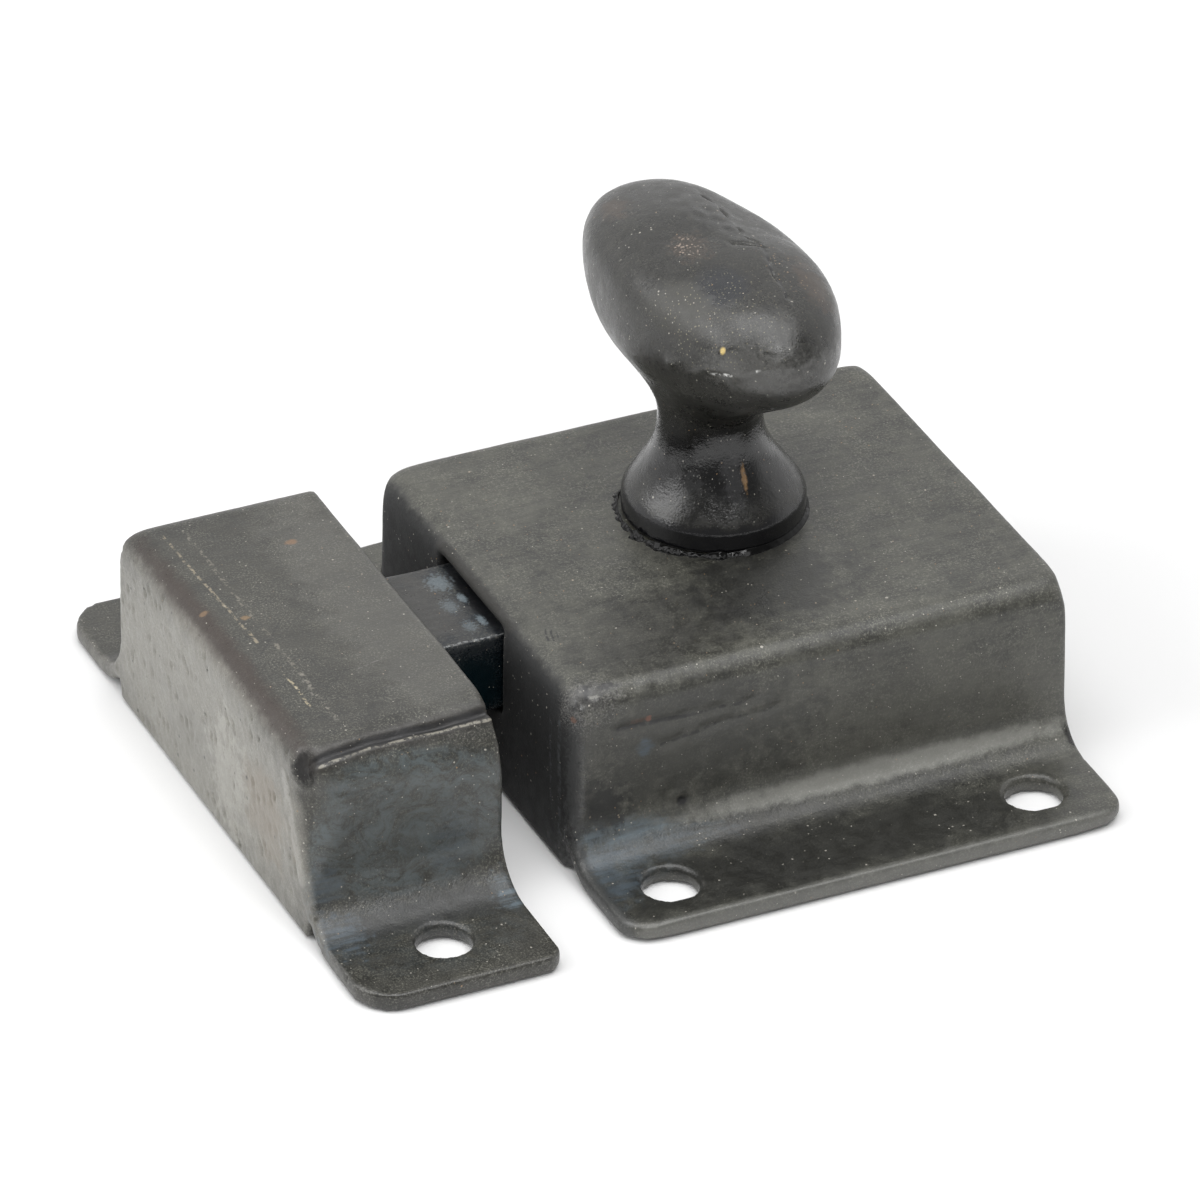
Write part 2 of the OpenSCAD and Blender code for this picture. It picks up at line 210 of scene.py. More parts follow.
def note_ridges(mesh, spread=5):
    """Stores how far each point stands proud of its neighbours, evened out over a few rounds:
    above 0 on outer edges, below 0 in hollows."""
    points, normals = read_points(mesh)
    mean = neighbour_mean(mesh)
    proud = ((points - np.stack([mean(c) for c in points.T], 1)) * normals).sum(1)
    for _ in range(spread):
        proud = 0.4 * proud + 0.6 * mean(proud)
    scale = np.percentile(np.abs(proud), 97)
    note_upward(mesh)
    note(mesh, "ridge", np.clip(proud / max(scale, 1e-9), -1, 1))


def note_upward(mesh):
    """Stores how far each point's face looks up, 0 to 1, because that is where dust settles."""
    _, normals = read_points(mesh)
    note(mesh, "upward", np.clip(normals[:, 2], 0, 1))


# Shader nodes


def put(tree, kind, sockets=None, **settings):
    """One shader node. The settings are its options, and the sockets its inputs, by name or
    number: each takes a value or another node's output."""
    node = tree.nodes.new("ShaderNode" + kind)
    for key, value in settings.items():
        setattr(node, key, value)
    for key, value in (sockets or {}).items():
        if isinstance(value, bpy.types.NodeSocket):
            tree.links.new(value, node.inputs[key])
        else:
            node.inputs[key].default_value = value
    return node


def use(tree, group, **sockets):
    """The outputs of a node group that is put to use with these inputs."""
    return put(tree, "Group", sockets, node_tree=group).outputs


def calc(tree, operation, *values, clamp=False):
    """The result of one operation on numbers."""
    return put(tree, "Math", dict(enumerate(values)), operation=operation, use_clamp=clamp).outputs[0]


def times(tree, a, b):
    """The product of two numbers."""
    return calc(tree, "MULTIPLY", a, b)


def vec(tree, operation, *values, out=0):
    """The result of one operation on vectors. Output 1 is the one for numbers."""
    return put(tree, "VectorMath", dict(enumerate(values)), operation=operation).outputs[out]


def scaled(tree, vector, factor):
    """A vector times a number."""
    return put(tree, "VectorMath", {0: vector, "Scale": factor}, operation="SCALE").outputs[0]


def fade(tree, value, low, high, to_low=0.0, to_high=1.0):
    """Smooth change of a value from to_low at low to to_high at high."""
    return put(tree, "MapRange", {0: value, 1: low, 2: high, 3: to_low, 4: to_high},
               interpolation_type="SMOOTHSTEP").outputs[0]


def blend_colour(tree, share, first, second):
    """The first colour where the share is 0, and the second where it is 1. Each is an output or
    three numbers."""
    first, second = ((*c, 1) if isinstance(c, tuple) else c for c in (first, second))
    return put(tree, "Mix", {0: share, 6: first, 7: second}, data_type="RGBA").outputs[2]


def lay(tree, colour, tint, mask, strength):
    """A colour with a tint laid over it through a mask, at some strength."""
    return blend_colour(tree, times(tree, mask, strength), colour, tint)


def noise(tree, where, size, detail, roughness=0.5, out=0):
    """Noise whose lumps are about size millimetres across, a number or an output. Output 0 is
    one number, and output 1 three of them."""
    scale = 1.0 / size if isinstance(size, (int, float)) else calc(tree, "DIVIDE", 1.0, size)
    return put(tree, "TexNoise", {"Vector": where, "Scale": scale, "Detail": detail,
                                  "Roughness": roughness}).outputs[out]


def drift(tree, where, size, detail, reach):
    """Shifts in all directions, in lumps of about one size, by at most half the reach."""
    shift = vec(tree, "SUBTRACT", noise(tree, where, size, detail, out=1), (0.5,) * 3)
    return vec(tree, "MULTIPLY", shift, (reach,) * 3)


def cell_pattern(tree, where, spacing):
    """The outputs of a cell pattern, and the three random numbers of each cell."""
    scale = calc(tree, "DIVIDE", 1.0, spacing)
    cells = put(tree, "TexVoronoi", {"Vector": where, "Scale": scale}).outputs
    return cells, put(tree, "SeparateColor", {0: cells["Color"]}).outputs


def place_mm(tree):
    """The point on the piece, in millimetres."""
    return scaled(tree, put(tree, "TexCoord").outputs["Object"], 1.0 / MM)


def egg_share(tree, here, given):
    """Distance from a group's Middle as a share of its Reach, which has three lengths."""
    apart = vec(tree, "SUBTRACT", here, given["Middle"])
    return vec(tree, "LENGTH", vec(tree, "DIVIDE", apart, given["Reach"]), out=1)


def start_group(name, outputs, **inputs):
    """An empty node group. Its inputs start with the values given, numbers or vectors, and its
    outputs are numbers."""
    tree = bpy.data.node_groups.new(name, "ShaderNodeTree")
    for label, value in inputs.items():
        kind = "NodeSocketVector" if isinstance(value, tuple) else "NodeSocketFloat"
        tree.interface.new_socket(label, in_out="INPUT", socket_type=kind).default_value = value
    for label in outputs:
        tree.interface.new_socket(label, in_out="OUTPUT", socket_type="NodeSocketFloat")
    return tree, tree.nodes.new("NodeGroupInput").outputs, tree.nodes.new("NodeGroupOutput").inputs


def make_mottle():
    """Cloudy black oxide: broad clouds, a middling blotch, a fine grain, brushed streaks, tiny
    specks, and a patchy film of such specks, each 0 to 1."""
    tree, given, result = start_group(
        "oxide_mottle", ["Cloud", "Blotch", "Grain", "Film", "Specks", "Streak"],
        Cloud=9.0, Blotch=1.6, Grain=0.22, Shift=(0, 0, 0))
    here = vec(tree, "ADD", place_mm(tree), given["Shift"])
    specks = fade(tree, noise(tree, here, 0.20, 3, 0.8), 0.49, 0.66)
    patches = noise(tree, vec(tree, "ADD", here, (17, 5, 3)), 3.6, 5, 0.7)
    film = times(tree, specks, fade(tree, patches, 0.34, 0.66, 0.25, 1.0))
    tree.links.new(film, result["Film"])
    tree.links.new(specks, result["Specks"])
    brushed = noise(tree, vec(tree, "MULTIPLY", here, (0.10, 1.0, 1.0)), 0.55, 3, 0.65)
    tree.links.new(fade(tree, brushed, 0.36, 0.64), result["Streak"])
    for label, detail, low, high in (("Cloud", 3, 0.32, 0.68), ("Blotch", 4, 0.35, 0.65),
                                     ("Grain", 2, 0.25, 0.75)):
        value = noise(tree, here, given[label], detail, 0.6)
        tree.links.new(fade(tree, value, low, high), result[label])
    return tree


def make_dust():
    """Specks of dust: one round speck in some of the cells of a cell pattern, its size and
    warmth by the cell's own random number."""
    tree, given, result = start_group(
        "dust_specks", ["Mask", "Warmth"], Spacing=1.0, Size=0.07, Share=0.3)
    here = place_mm(tree)
    moved = vec(tree, "ADD", here, drift(tree, here, 0.12, 1, 0.12))
    cells, luck = cell_pattern(tree, moved, given["Spacing"])
    apart = times(tree, cells["Distance"], given["Spacing"])
    size = times(tree, given["Size"], fade(tree, luck[1], 0.0, 1.0, 0.45, 1.5))
    speck = fade(tree, calc(tree, "DIVIDE", apart, size), 0.6, 1.1, 1.0, 0.0)
    kept = calc(tree, "LESS_THAN", luck[0], given["Share"])
    tree.links.new(times(tree, speck, kept), result["Mask"])
    tree.links.new(luck[2], result["Warmth"])
    return tree


def make_hairs():
    """Short hair-thin marks: in some cells of a cell pattern, a thin line through the cell's
    point, turned by the cell's random number."""
    tree, given, result = start_group(
        "hair_marks", ["Mask"], Spacing=3.0, Length=0.5, Width=0.03, Share=0.4)
    here = place_mm(tree)
    sway = vec(tree, "MULTIPLY", noise(tree, here, 0.7, 1, out=1), (0.35,) * 3)
    bent = vec(tree, "ADD", here, sway)
    cells, luck = cell_pattern(tree, bent, given["Spacing"])
    middle = scaled(tree, cells["Position"], given["Spacing"])
    way = vec(tree, "NORMALIZE", vec(tree, "SUBTRACT", cells["Color"], (0.5,) * 3))
    offset = vec(tree, "SUBTRACT", bent, middle)
    along = vec(tree, "DOT_PRODUCT", offset, way, out=1)
    apart = vec(tree, "LENGTH", vec(tree, "CROSS_PRODUCT", offset, way), out=1)
    thin = fade(tree, calc(tree, "DIVIDE", apart, given["Width"]), 0.6, 1.3, 1.0, 0.0)
    short = calc(tree, "LESS_THAN", calc(tree, "ABSOLUTE", along), given["Length"])
    kept = calc(tree, "LESS_THAN", luck[0], given["Share"])
    tree.links.new(times(tree, times(tree, thin, short), kept), result["Mask"])
    return tree


def make_line_mark():
    """A drawn line, for scratch marks and for painted lines of light and shade: points closer than
    its width to the stretch between two points, broken up by noise into dashes."""
    tree, given, result = start_group(
        "drawn_line", ["Mask"], From=(0, 0, 0), To=(1, 0, 0), Width=0.12, Gaps=0.5)
    here = place_mm(tree)
    shaken = vec(tree, "ADD", here, drift(tree, here, 2.5, 2, 0.5))
    start = vec(tree, "SUBTRACT", shaken, given["From"])
    run = vec(tree, "SUBTRACT", given["To"], given["From"])
    share = calc(tree, "DIVIDE", vec(tree, "DOT_PRODUCT", start, run, out=1),
                 vec(tree, "DOT_PRODUCT", run, run, out=1), clamp=True)
    foot = scaled(tree, run, share)
    apart = vec(tree, "LENGTH", vec(tree, "SUBTRACT", start, foot), out=1)
    line = fade(tree, calc(tree, "DIVIDE", apart, given["Width"]), 0.35, 1.0, 1.0, 0.0)
    dashes = noise(tree, here, 0.55, 3, 0.7)
    lit = fade(tree, calc(tree, "SUBTRACT", dashes, given["Gaps"]), -0.04, 0.07)
    tree.links.new(times(tree, line, lit), result["Mask"])
    return tree


def make_ragged_patch():
    """A ragged patch: inside an egg-shaped reach round a middle, with its edge pushed about and
    its inside thinned by noise."""
    tree, given, result = start_group(
        "ragged_patch", ["Mask"], Middle=(0, 0, 0), Reach=(2, 2, 2), Ragged=0.8, Size=1.5)
    here = place_mm(tree)
    rough = noise(tree, here, given["Size"], 5, 0.65)
    push = times(tree, calc(tree, "SUBTRACT", rough, 0.5), times(tree, given["Ragged"], 3.0))
    share = calc(tree, "ADD", egg_share(tree, here, given), push)
    tree.links.new(fade(tree, share, 0.45, 1.15, 1.0, 0.0), result["Mask"])
    return tree


def make_marble():
    """Swirls of bluing: a noise drawn out sideways and stirred by a second noise, within an
    egg-shaped reach round a middle."""
    tree, given, result = start_group("bluing_swirls", ["Mask"], Middle=(0, 0, 0), Reach=(2, 2, 2))
    here = place_mm(tree)
    stirred = vec(tree, "ADD", here, drift(tree, here, 6.0, 2, 9.0))
    drawn_out = vec(tree, "MULTIPLY", stirred, (0.5, 1.0, 1.0))
    swirl = fade(tree, noise(tree, drawn_out, 1.1, 6, 0.75), 0.36, 0.64)
    within = fade(tree, egg_share(tree, here, given), 0.75, 1.1, 1.0, 0.0)
    tree.links.new(times(tree, swirl, within), result["Mask"])
    return tree


MOTTLE, DUST, HAIRS, LINE_MARK, RAGGED_PATCH, MARBLE = (
    make_mottle(), make_dust(), make_hairs(), make_line_mark(), make_ragged_patch(), make_marble())

PALE_DUST = (0.42, 0.40, 0.35)
GREY_FILM = (0.265, 0.262, 0.215)
TAN_DUST = (0.30, 0.19, 0.10)
BARE_GREY = (0.17, 0.165, 0.155)
GUN_BLUE = (0.062, 0.082, 0.100)
RUST_BROWN = (0.085, 0.052, 0.032)
# Near black: for soot, cracks and grime, and also for painted shade in the keep's crease and at the
# bolt's slot
SOOT_AND_SHADE = (0.006, 0.006, 0.007)
PALE_BLUE = (0.115, 0.150, 0.175)
FROST = (0.17, 0.205, 0.225)
STEEL_BROWN = (0.16, 0.10, 0.06)
STEEL_DARK = (0.05, 0.05, 0.05)

# Patches of these colours show brushed streaks. Other patches, of real marks and of painted light
# alike, where brighter than this, show specks.
BRUSHED = (GUN_BLUE, PALE_BLUE)
SPECKLED_FROM = 0.05

# Dust comes in three sizes: spacing, size and share of the piece's own dust
DUST_SIZES = ((0.5, 0.055, 1.0), (1.1, 0.08, 1.0), (2.8, 0.12, 0.4))


def start_material(name, ior=1.55):
    """A new material, with its node tree and its shader."""
    material = bpy.data.materials.new(name)
    material.use_nodes = True
    shader = material.node_tree.nodes["Principled BSDF"]
    shader.inputs["IOR"].default_value = ior
    return material, material.node_tree, shader


def weigh(tree, mottle, start, **weights):
    """A start value plus some parts of the mottle, each by its weight."""
    for part, weight in weights.items():
        start = calc(tree, "ADD", start, times(tree, mottle[part], weight))
    return start


def join_surface(tree, shader, colour, sheen, height, bump, depth):
    """Joins colour, roughness and a fine bump to a shader. The depth is in millimetres."""
    normal = put(tree, "Bump", {"Strength": bump, "Distance": depth * MM, "Height": height})
    tree.links.new(colour, shader.inputs["Base Color"])
    tree.links.new(sheen, shader.inputs["Roughness"])
    tree.links.new(normal.outputs[0], shader.inputs["Normal"])


def blackened(name, dark, light, rough, stains_and_painted_light=(), scratches_and_painted_light=(), dust=0.35, bump=0.5,
              shift=(0, 0, 0), ior=1.6, edge_wear=0.35, gloss=None, film=0.5, marbling=(), crumbs=()):
    """Blackened and waxed metal: clouds between a dark and a light tone; ragged patches, some real
    marks and some painted light and shade; worn outer edges; drawn lines, some scratch marks and
    some painted light and shade; dust and fine grain. Patches are (middle, reach, ragged, size,
    colour, strength, roughness change), lines (from, to, width, gaps, colour, strength), marbling
    (middle, reach, colour, strength) and crumbs or pits (middle, reach, spacing, size, share,
    colour). Gloss is (low, high, roughness): glossy below the low level, as elsewhere above the
    high one."""
    material, tree, shader = start_material(name, ior)
    mottle = use(tree, MOTTLE, Shift=shift)
    tone = weigh(tree, mottle, 0.0, Cloud=0.36, Blotch=0.30, Streak=0.19, Grain=0.15)
    sheen = weigh(tree, mottle, rough - 0.09, Blotch=0.10, Grain=0.08)
    upward = put(tree, "Attribute", attribute_name="upward").outputs["Fac"]
    settled = fade(tree, upward, 0.0, 0.9, 0.85 * film, film)
    colour = lay(tree, blend_colour(tree, tone, dark, light), GREY_FILM, mottle["Film"], settled)
    for middle, reach, tint, strength in marbling:
        mask = use(tree, MARBLE, Middle=middle, Reach=reach)["Mask"]
        colour = lay(tree, colour, tint, mask, strength)
    for middle, reach, ragged, size, tint, strength, dull in stains_and_painted_light:
        mask = use(tree, RAGGED_PATCH, Middle=middle, Reach=reach, Ragged=ragged, Size=size)["Mask"]
        if tint in BRUSHED:
            mask = times(tree, mask, fade(tree, mottle["Streak"], 0.0, 1.0, 0.25, 1.0))
        elif max(tint) > SPECKLED_FROM:
            mask = times(tree, mask, fade(tree, mottle["Specks"], 0.0, 1.0, 0.75, 1.0))
        mask = times(tree, mask, strength)
        colour = blend_colour(tree, mask, colour, tint)
        sheen = calc(tree, "ADD", sheen, times(tree, mask, dull))
    for middle, reach, spacing, size, share, tint in crumbs:
        near = use(tree, RAGGED_PATCH, Middle=middle, Reach=reach, Ragged=0.4, Size=1.5)["Mask"]
        crumb = use(tree, DUST, Spacing=spacing, Size=size, Share=share)["Mask"]
        colour = lay(tree, colour, tint, crumb, times(tree, near, 0.8))
    if edge_wear:
        ridge = put(tree, "Attribute", attribute_name="ridge").outputs["Fac"]
        worn = times(tree, fade(tree, ridge, 0.25, 0.95), mottle["Blotch"])
        worn = times(tree, worn, fade(tree, mottle["Specks"], 0.0, 1.0, 0.2, 1.4))
        colour = lay(tree, colour, BARE_GREY, worn, edge_wear)
    for start, end, width, gaps, tint, strength in scratches_and_painted_light:
        mask = use(tree, LINE_MARK, From=start, To=end, Width=width, Gaps=gaps)["Mask"]
        colour = lay(tree, colour, tint, mask, strength)
    for spacing, size, share in DUST_SIZES:
        speck = use(tree, DUST, Spacing=spacing, Size=size, Share=dust * share)
        tint = blend_colour(tree, fade(tree, speck["Warmth"], 0.75, 0.95), PALE_DUST, TAN_DUST)
        colour = lay(tree, colour, tint, speck["Mask"], 0.85)
    hair = use(tree, HAIRS, Spacing=1.9, Length=0.5, Width=0.045, Share=dust)["Mask"]
    colour = lay(tree, colour, PALE_DUST, hair, 0.55)
    if gloss:
        low, high, value = gloss
        height = put(tree, "SeparateXYZ", {0: place_mm(tree)}).outputs[2]
        band = fade(tree, weigh(tree, mottle, height, Blotch=0.5), low, high, 1.0, 0.0)
        sheen = put(tree, "Mix", {0: band, 2: sheen, 3: value}).outputs[0]
        colour = blend_colour(tree, band, colour, SOOT_AND_SHADE)
    grain_height = weigh(tree, mottle, 0.0, Grain=0.6, Blotch=0.8)
    sheen = calc(tree, "ADD", sheen, 0.0, clamp=True)
    join_surface(tree, shader, colour, sheen, grain_height, bump, 0.03)
    return material


def steel(name, colour, rough, wear):
    """Plain drawn steel: metal with a cloudy tone, fine pits and a little brown."""
    material, tree, shader = start_material(name)
    mottle = use(tree, MOTTLE, Cloud=4.0, Blotch=0.9, Grain=0.15)
    shader.inputs["Metallic"].default_value = 1.0
    brown = lay(tree, colour, STEEL_BROWN, mottle["Cloud"], wear)
    tone = lay(tree, brown, STEEL_DARK, mottle["Blotch"], 0.5)
    sheen = weigh(tree, mottle, rough, Grain=0.2)
    join_surface(tree, shader, tone, sheen, mottle["Grain"], 0.4, 0.02)
    return material


# The cold lap across the knob's head, where the metal folded over itself in the mould
LAP = ((2.9, 10.9, 47.1), (3.3, 9.2, 47.2), (3.4, 7.1, 47.4), (2.9, 1.6, 47.6), (3.7, -0.1, 47.4),
       (2.5, -4.4, 47.3), (2.3, -6.6, 46.9), (2.1, -8.2, 46.6))

# The crack that branches off it
LAP_BRANCH = ((0.9, 0.9, 47.7), (3.6, -0.4, 47.5))

# The crest along the front of the knob's head. In the knob's finish, the pale dashes along it are
# a painted highlight.
RIDGE = ((-7.6, -5.1, 40.5), (-6.8, -7.1, 40.6), (-5.8, -9.1, 41.1), (-4.9, -10.5, 41.4),
         (-4.0, -11.5, 41.7), (-2.8, -12.5, 42.5), (-1.6, -13.2, 42.9), (-0.2, -13.7, 43.0),
         (3.0, -13.0, 42.8))

# The crease across the keep's front bend, the raised lip below it and the edge of the open end.
# In the keep's finish the crease is darkened with painted shade, the lip gets a pale line of
# painted highlight, and the open edge a pale line that is partly a burr, partly painted highlight.
CREASE = ((-49.6, -20.2, 17.5), (-47.2, -19.9, 17.7), (-43.5, -19.5, 17.8), (-39.9, -19.3, 17.6),
          (-36.5, -19.1, 17.4), (-31.4, -18.5, 17.4))
LIP = ((-49.9, -20.7, 17.0), (-47.7, -20.4, 17.3), (-43.7, -20.0, 17.4), (-39.7, -19.7, 17.3),
       (-34.8, -19.4, 17.1), (-31.4, -19.2, 16.9))
MOUTH = ((-31.3, 9.0, 18.4), (-31.3, -15.0, 18.4), (-31.3, -18.3, 17.5), (-31.3, -20.8, 15.0),
         (-31.3, -21.7, 11.7), (-31.3, -21.7, 4.0))

# Two grooves and a pit in the case's front wall
GROOVES = (
    ((-20.2, FRONT_WALL, 14.3), (-13.6, FRONT_WALL, 14.1), (-7.2, FRONT_WALL, 13.9)),
    ((-15.9, FRONT_WALL, 11.6), (-10.6, FRONT_WALL, 12.4), (-4.4, FRONT_WALL, 12.6)))
PIT = (-13.8, FRONT_WALL, 5.0)


def marks_along(line, *look):
    """One mark for each stretch of a line: its two ends, and the look that all of them share."""
    return [(start, end, *look) for start, end in zip(line[:-1], line[1:])]


# Finishes, with the marks of each piece

case_finish = blackened(
    "waxed_black_case", (0.006, 0.006, 0.005), (0.086, 0.085, 0.070), 0.40,
    stains_and_painted_light=[
        ((-4, -29.5, 2.2), (38, 7.5, 1.8), 0.4, 2.5, (0.010, 0.0100, 0.0088), 0.85, -0.02),
        ((0, -34.7, 0.9), (60, 1, 3.4), 0.3, 1.5, (0.17, 0.17, 0.155), 0.65, 0),
        ((-23.8, -25.9, 2.2), (4.5, 5, 3), 0.7, 1.6, GUN_BLUE, 0.75, -0.05),
        ((-17, -23.6, 2.5), (8, 1.6, 2.5), 0.8, 1.2, GUN_BLUE, 0.45, 0),
        # Painted highlight: a pale strip along the flange's concave bend
        ((6, -22.4, 3.6), (25, 1.1, 1.25), 0.30, 1.5, (0.37, 0.37, 0.34), 0.8, -0.06),
        ((-20, -22.4, 3.7), (6, 0.8, 1.1), 0.5, 0.8, PALE_BLUE, 0.8, 0),
        ((0, FRONT_WALL, 8.5), (34, 1.4, 9), 0.35, 3, (0.10, 0.098, 0.084), 0.5, 0),
        ((-13, -14, 18.5), (10, 7, 1.5), 0.9, 3, (0.018, 0.0172, 0.0155), 0.55, 0.04),
        ((-1, -10.5, 18.5), (10, 8, 1.5), 0.7, 2.5, (0.010, 0.010, 0.0095), 0.75, 0.02),
        ((-14, FRONT_WALL, 11.5), (15, 1.4, 8), 0.9, 1.6, (0.012, 0.0122, 0.0115), 0.5, 0),
        ((-22, FRONT_WALL, 6), (3, 1.4, 3.2), 0.9, 0.8, SOOT_AND_SHADE, 0.6, 0),
        # Painted shade: the end wall that faces the keep across the gap, darkened almost to black
        ((-25, 0, 8), (1.3, 70, 32), 0.25, 1.2, (0.002, 0.0024, 0.0028), 0.97, 0.40),
        ((-24.2, -21, 8), (0.9, 1.2, 14), 0.9, 0.5, (0.028, 0.029, 0.029), 0.7, -0.30),
        ((-25, -29.5, 1.2), (1.6, 11, 3.4), 0.5, 1, (0.050, 0.052, 0.050), 0.85, -0.36),
        # Painted shade: a dark band on the blunt lip over the bolt's slot, which faces the keep
        ((-25, 0.4, 17.8), (0.6, 7.8, 0.75), 0.25, 0.6, (0.012, 0.011, 0.008), 0.9, 0.1),
        ((-22.9, -20.6, 17.4), (3, 1.6, 2.6), 1.7, 0.16, BARE_GREY, 0.65, 0.1),
        ((-22.6, -20.4, 17.6), (2.6, 1.5, 1.8), 1.6, 0.28, SOOT_AND_SHADE, 0.6, 0),
        ((-20.9, -20.3, 18.2), (1.2, 0.5, 0.6), 0.9, 0.4, SOOT_AND_SHADE, 0.8, 0),
        ((-24.3, -20.9, 15.9), (0.3, 0.35, 0.35), 0.6, 0.3, (0.13, 0.055, 0.03), 0.8, 0.1),
        ((-17.3, FRONT_WALL, 14.7), (0.35, 0.4, 0.4), 0.5, 0.3, (0.24, 0.10, 0.065), 0.85, 0.1),
        ((-18.1, FRONT_WALL, 14.7), (1.1, 0.4, 0.35), 0.9, 0.3, (0.11, 0.065, 0.05), 0.5, 0.1),
        ((-17.6, FRONT_WALL, 11.8), (0.9, 0.5, 1.2), 0.5, 0.8, GUN_BLUE, 0.9, 0),
        ((25.2, -23, 2.6), (1, 1.6, 1.6), 0.6, 0.8, SOOT_AND_SHADE, 0.85, -0.1),
        (PIT, (0.55, 0.6, 0.55), 0.4, 0.5, SOOT_AND_SHADE, 0.9, 0)],
    scratches_and_painted_light=[
        (*GROOVES[0][:2], 0.34, 0.40, SOOT_AND_SHADE, 0.85),
        (*GROOVES[0][1:], 0.28, 0.46, SOOT_AND_SHADE, 0.75),
        (*GROOVES[1][:2], 0.26, 0.46, SOOT_AND_SHADE, 0.7),
        (*GROOVES[1][1:], 0.26, 0.48, SOOT_AND_SHADE, 0.65),
        ((-22.7, -19.9, 18.4), (-23.1, -21, 17.8), 0.42, 0.36, SOOT_AND_SHADE, 0.95),
        ((-24.4, -20.9, 17.1), (-23.5, -20.8, 17.9), 0.38, 0.38, SOOT_AND_SHADE, 0.95),
        ((-22.9, -20.8, 17.9), (-19.4, -21.2, 17.4), 0.22, 0.52, (0.24, 0.235, 0.21), 0.6),
        ((-25, -17.5, 14), (-25, -17.8, 5), 0.35, 0.50, (0.05, 0.055, 0.06), 0.7),
        ((-25, -19.3, 15), (-25, -19.5, 3), 0.40, 0.48, (0.05, 0.055, 0.058), 0.7),
        # Painted shade: a dark line along the same lip over the bolt's slot
        ((-24.7, -7.6, 18.1), (-24.7, 8.4, 18.1), 0.95, 0.20, (0.016, 0.015, 0.012), 0.85),
        ((-22.6, -11.6, 18.5), (-22, -9.9, 18.5), 0.15, 0.42, SOOT_AND_SHADE, 0.9),
        ((-22.2, -11.8, 18.5), (-21.6, -10.2, 18.5), 0.15, 0.42, SOOT_AND_SHADE, 0.9),
        ((-21.8, -12, 18.5), (-21.2, -10.5, 18.5), 0.13, 0.44, SOOT_AND_SHADE, 0.85)],
    marbling=[((-21, -24, 2.8), (7, 4.2, 3), (0.115, 0.145, 0.165), 0.55)],
    crumbs=[((-20, -22.6, 4.6), (5, 1.6, 2.2), 0.55, 0.10, 0.5, (0.34, 0.27, 0.19))],
    shift=(3, 7, 1))

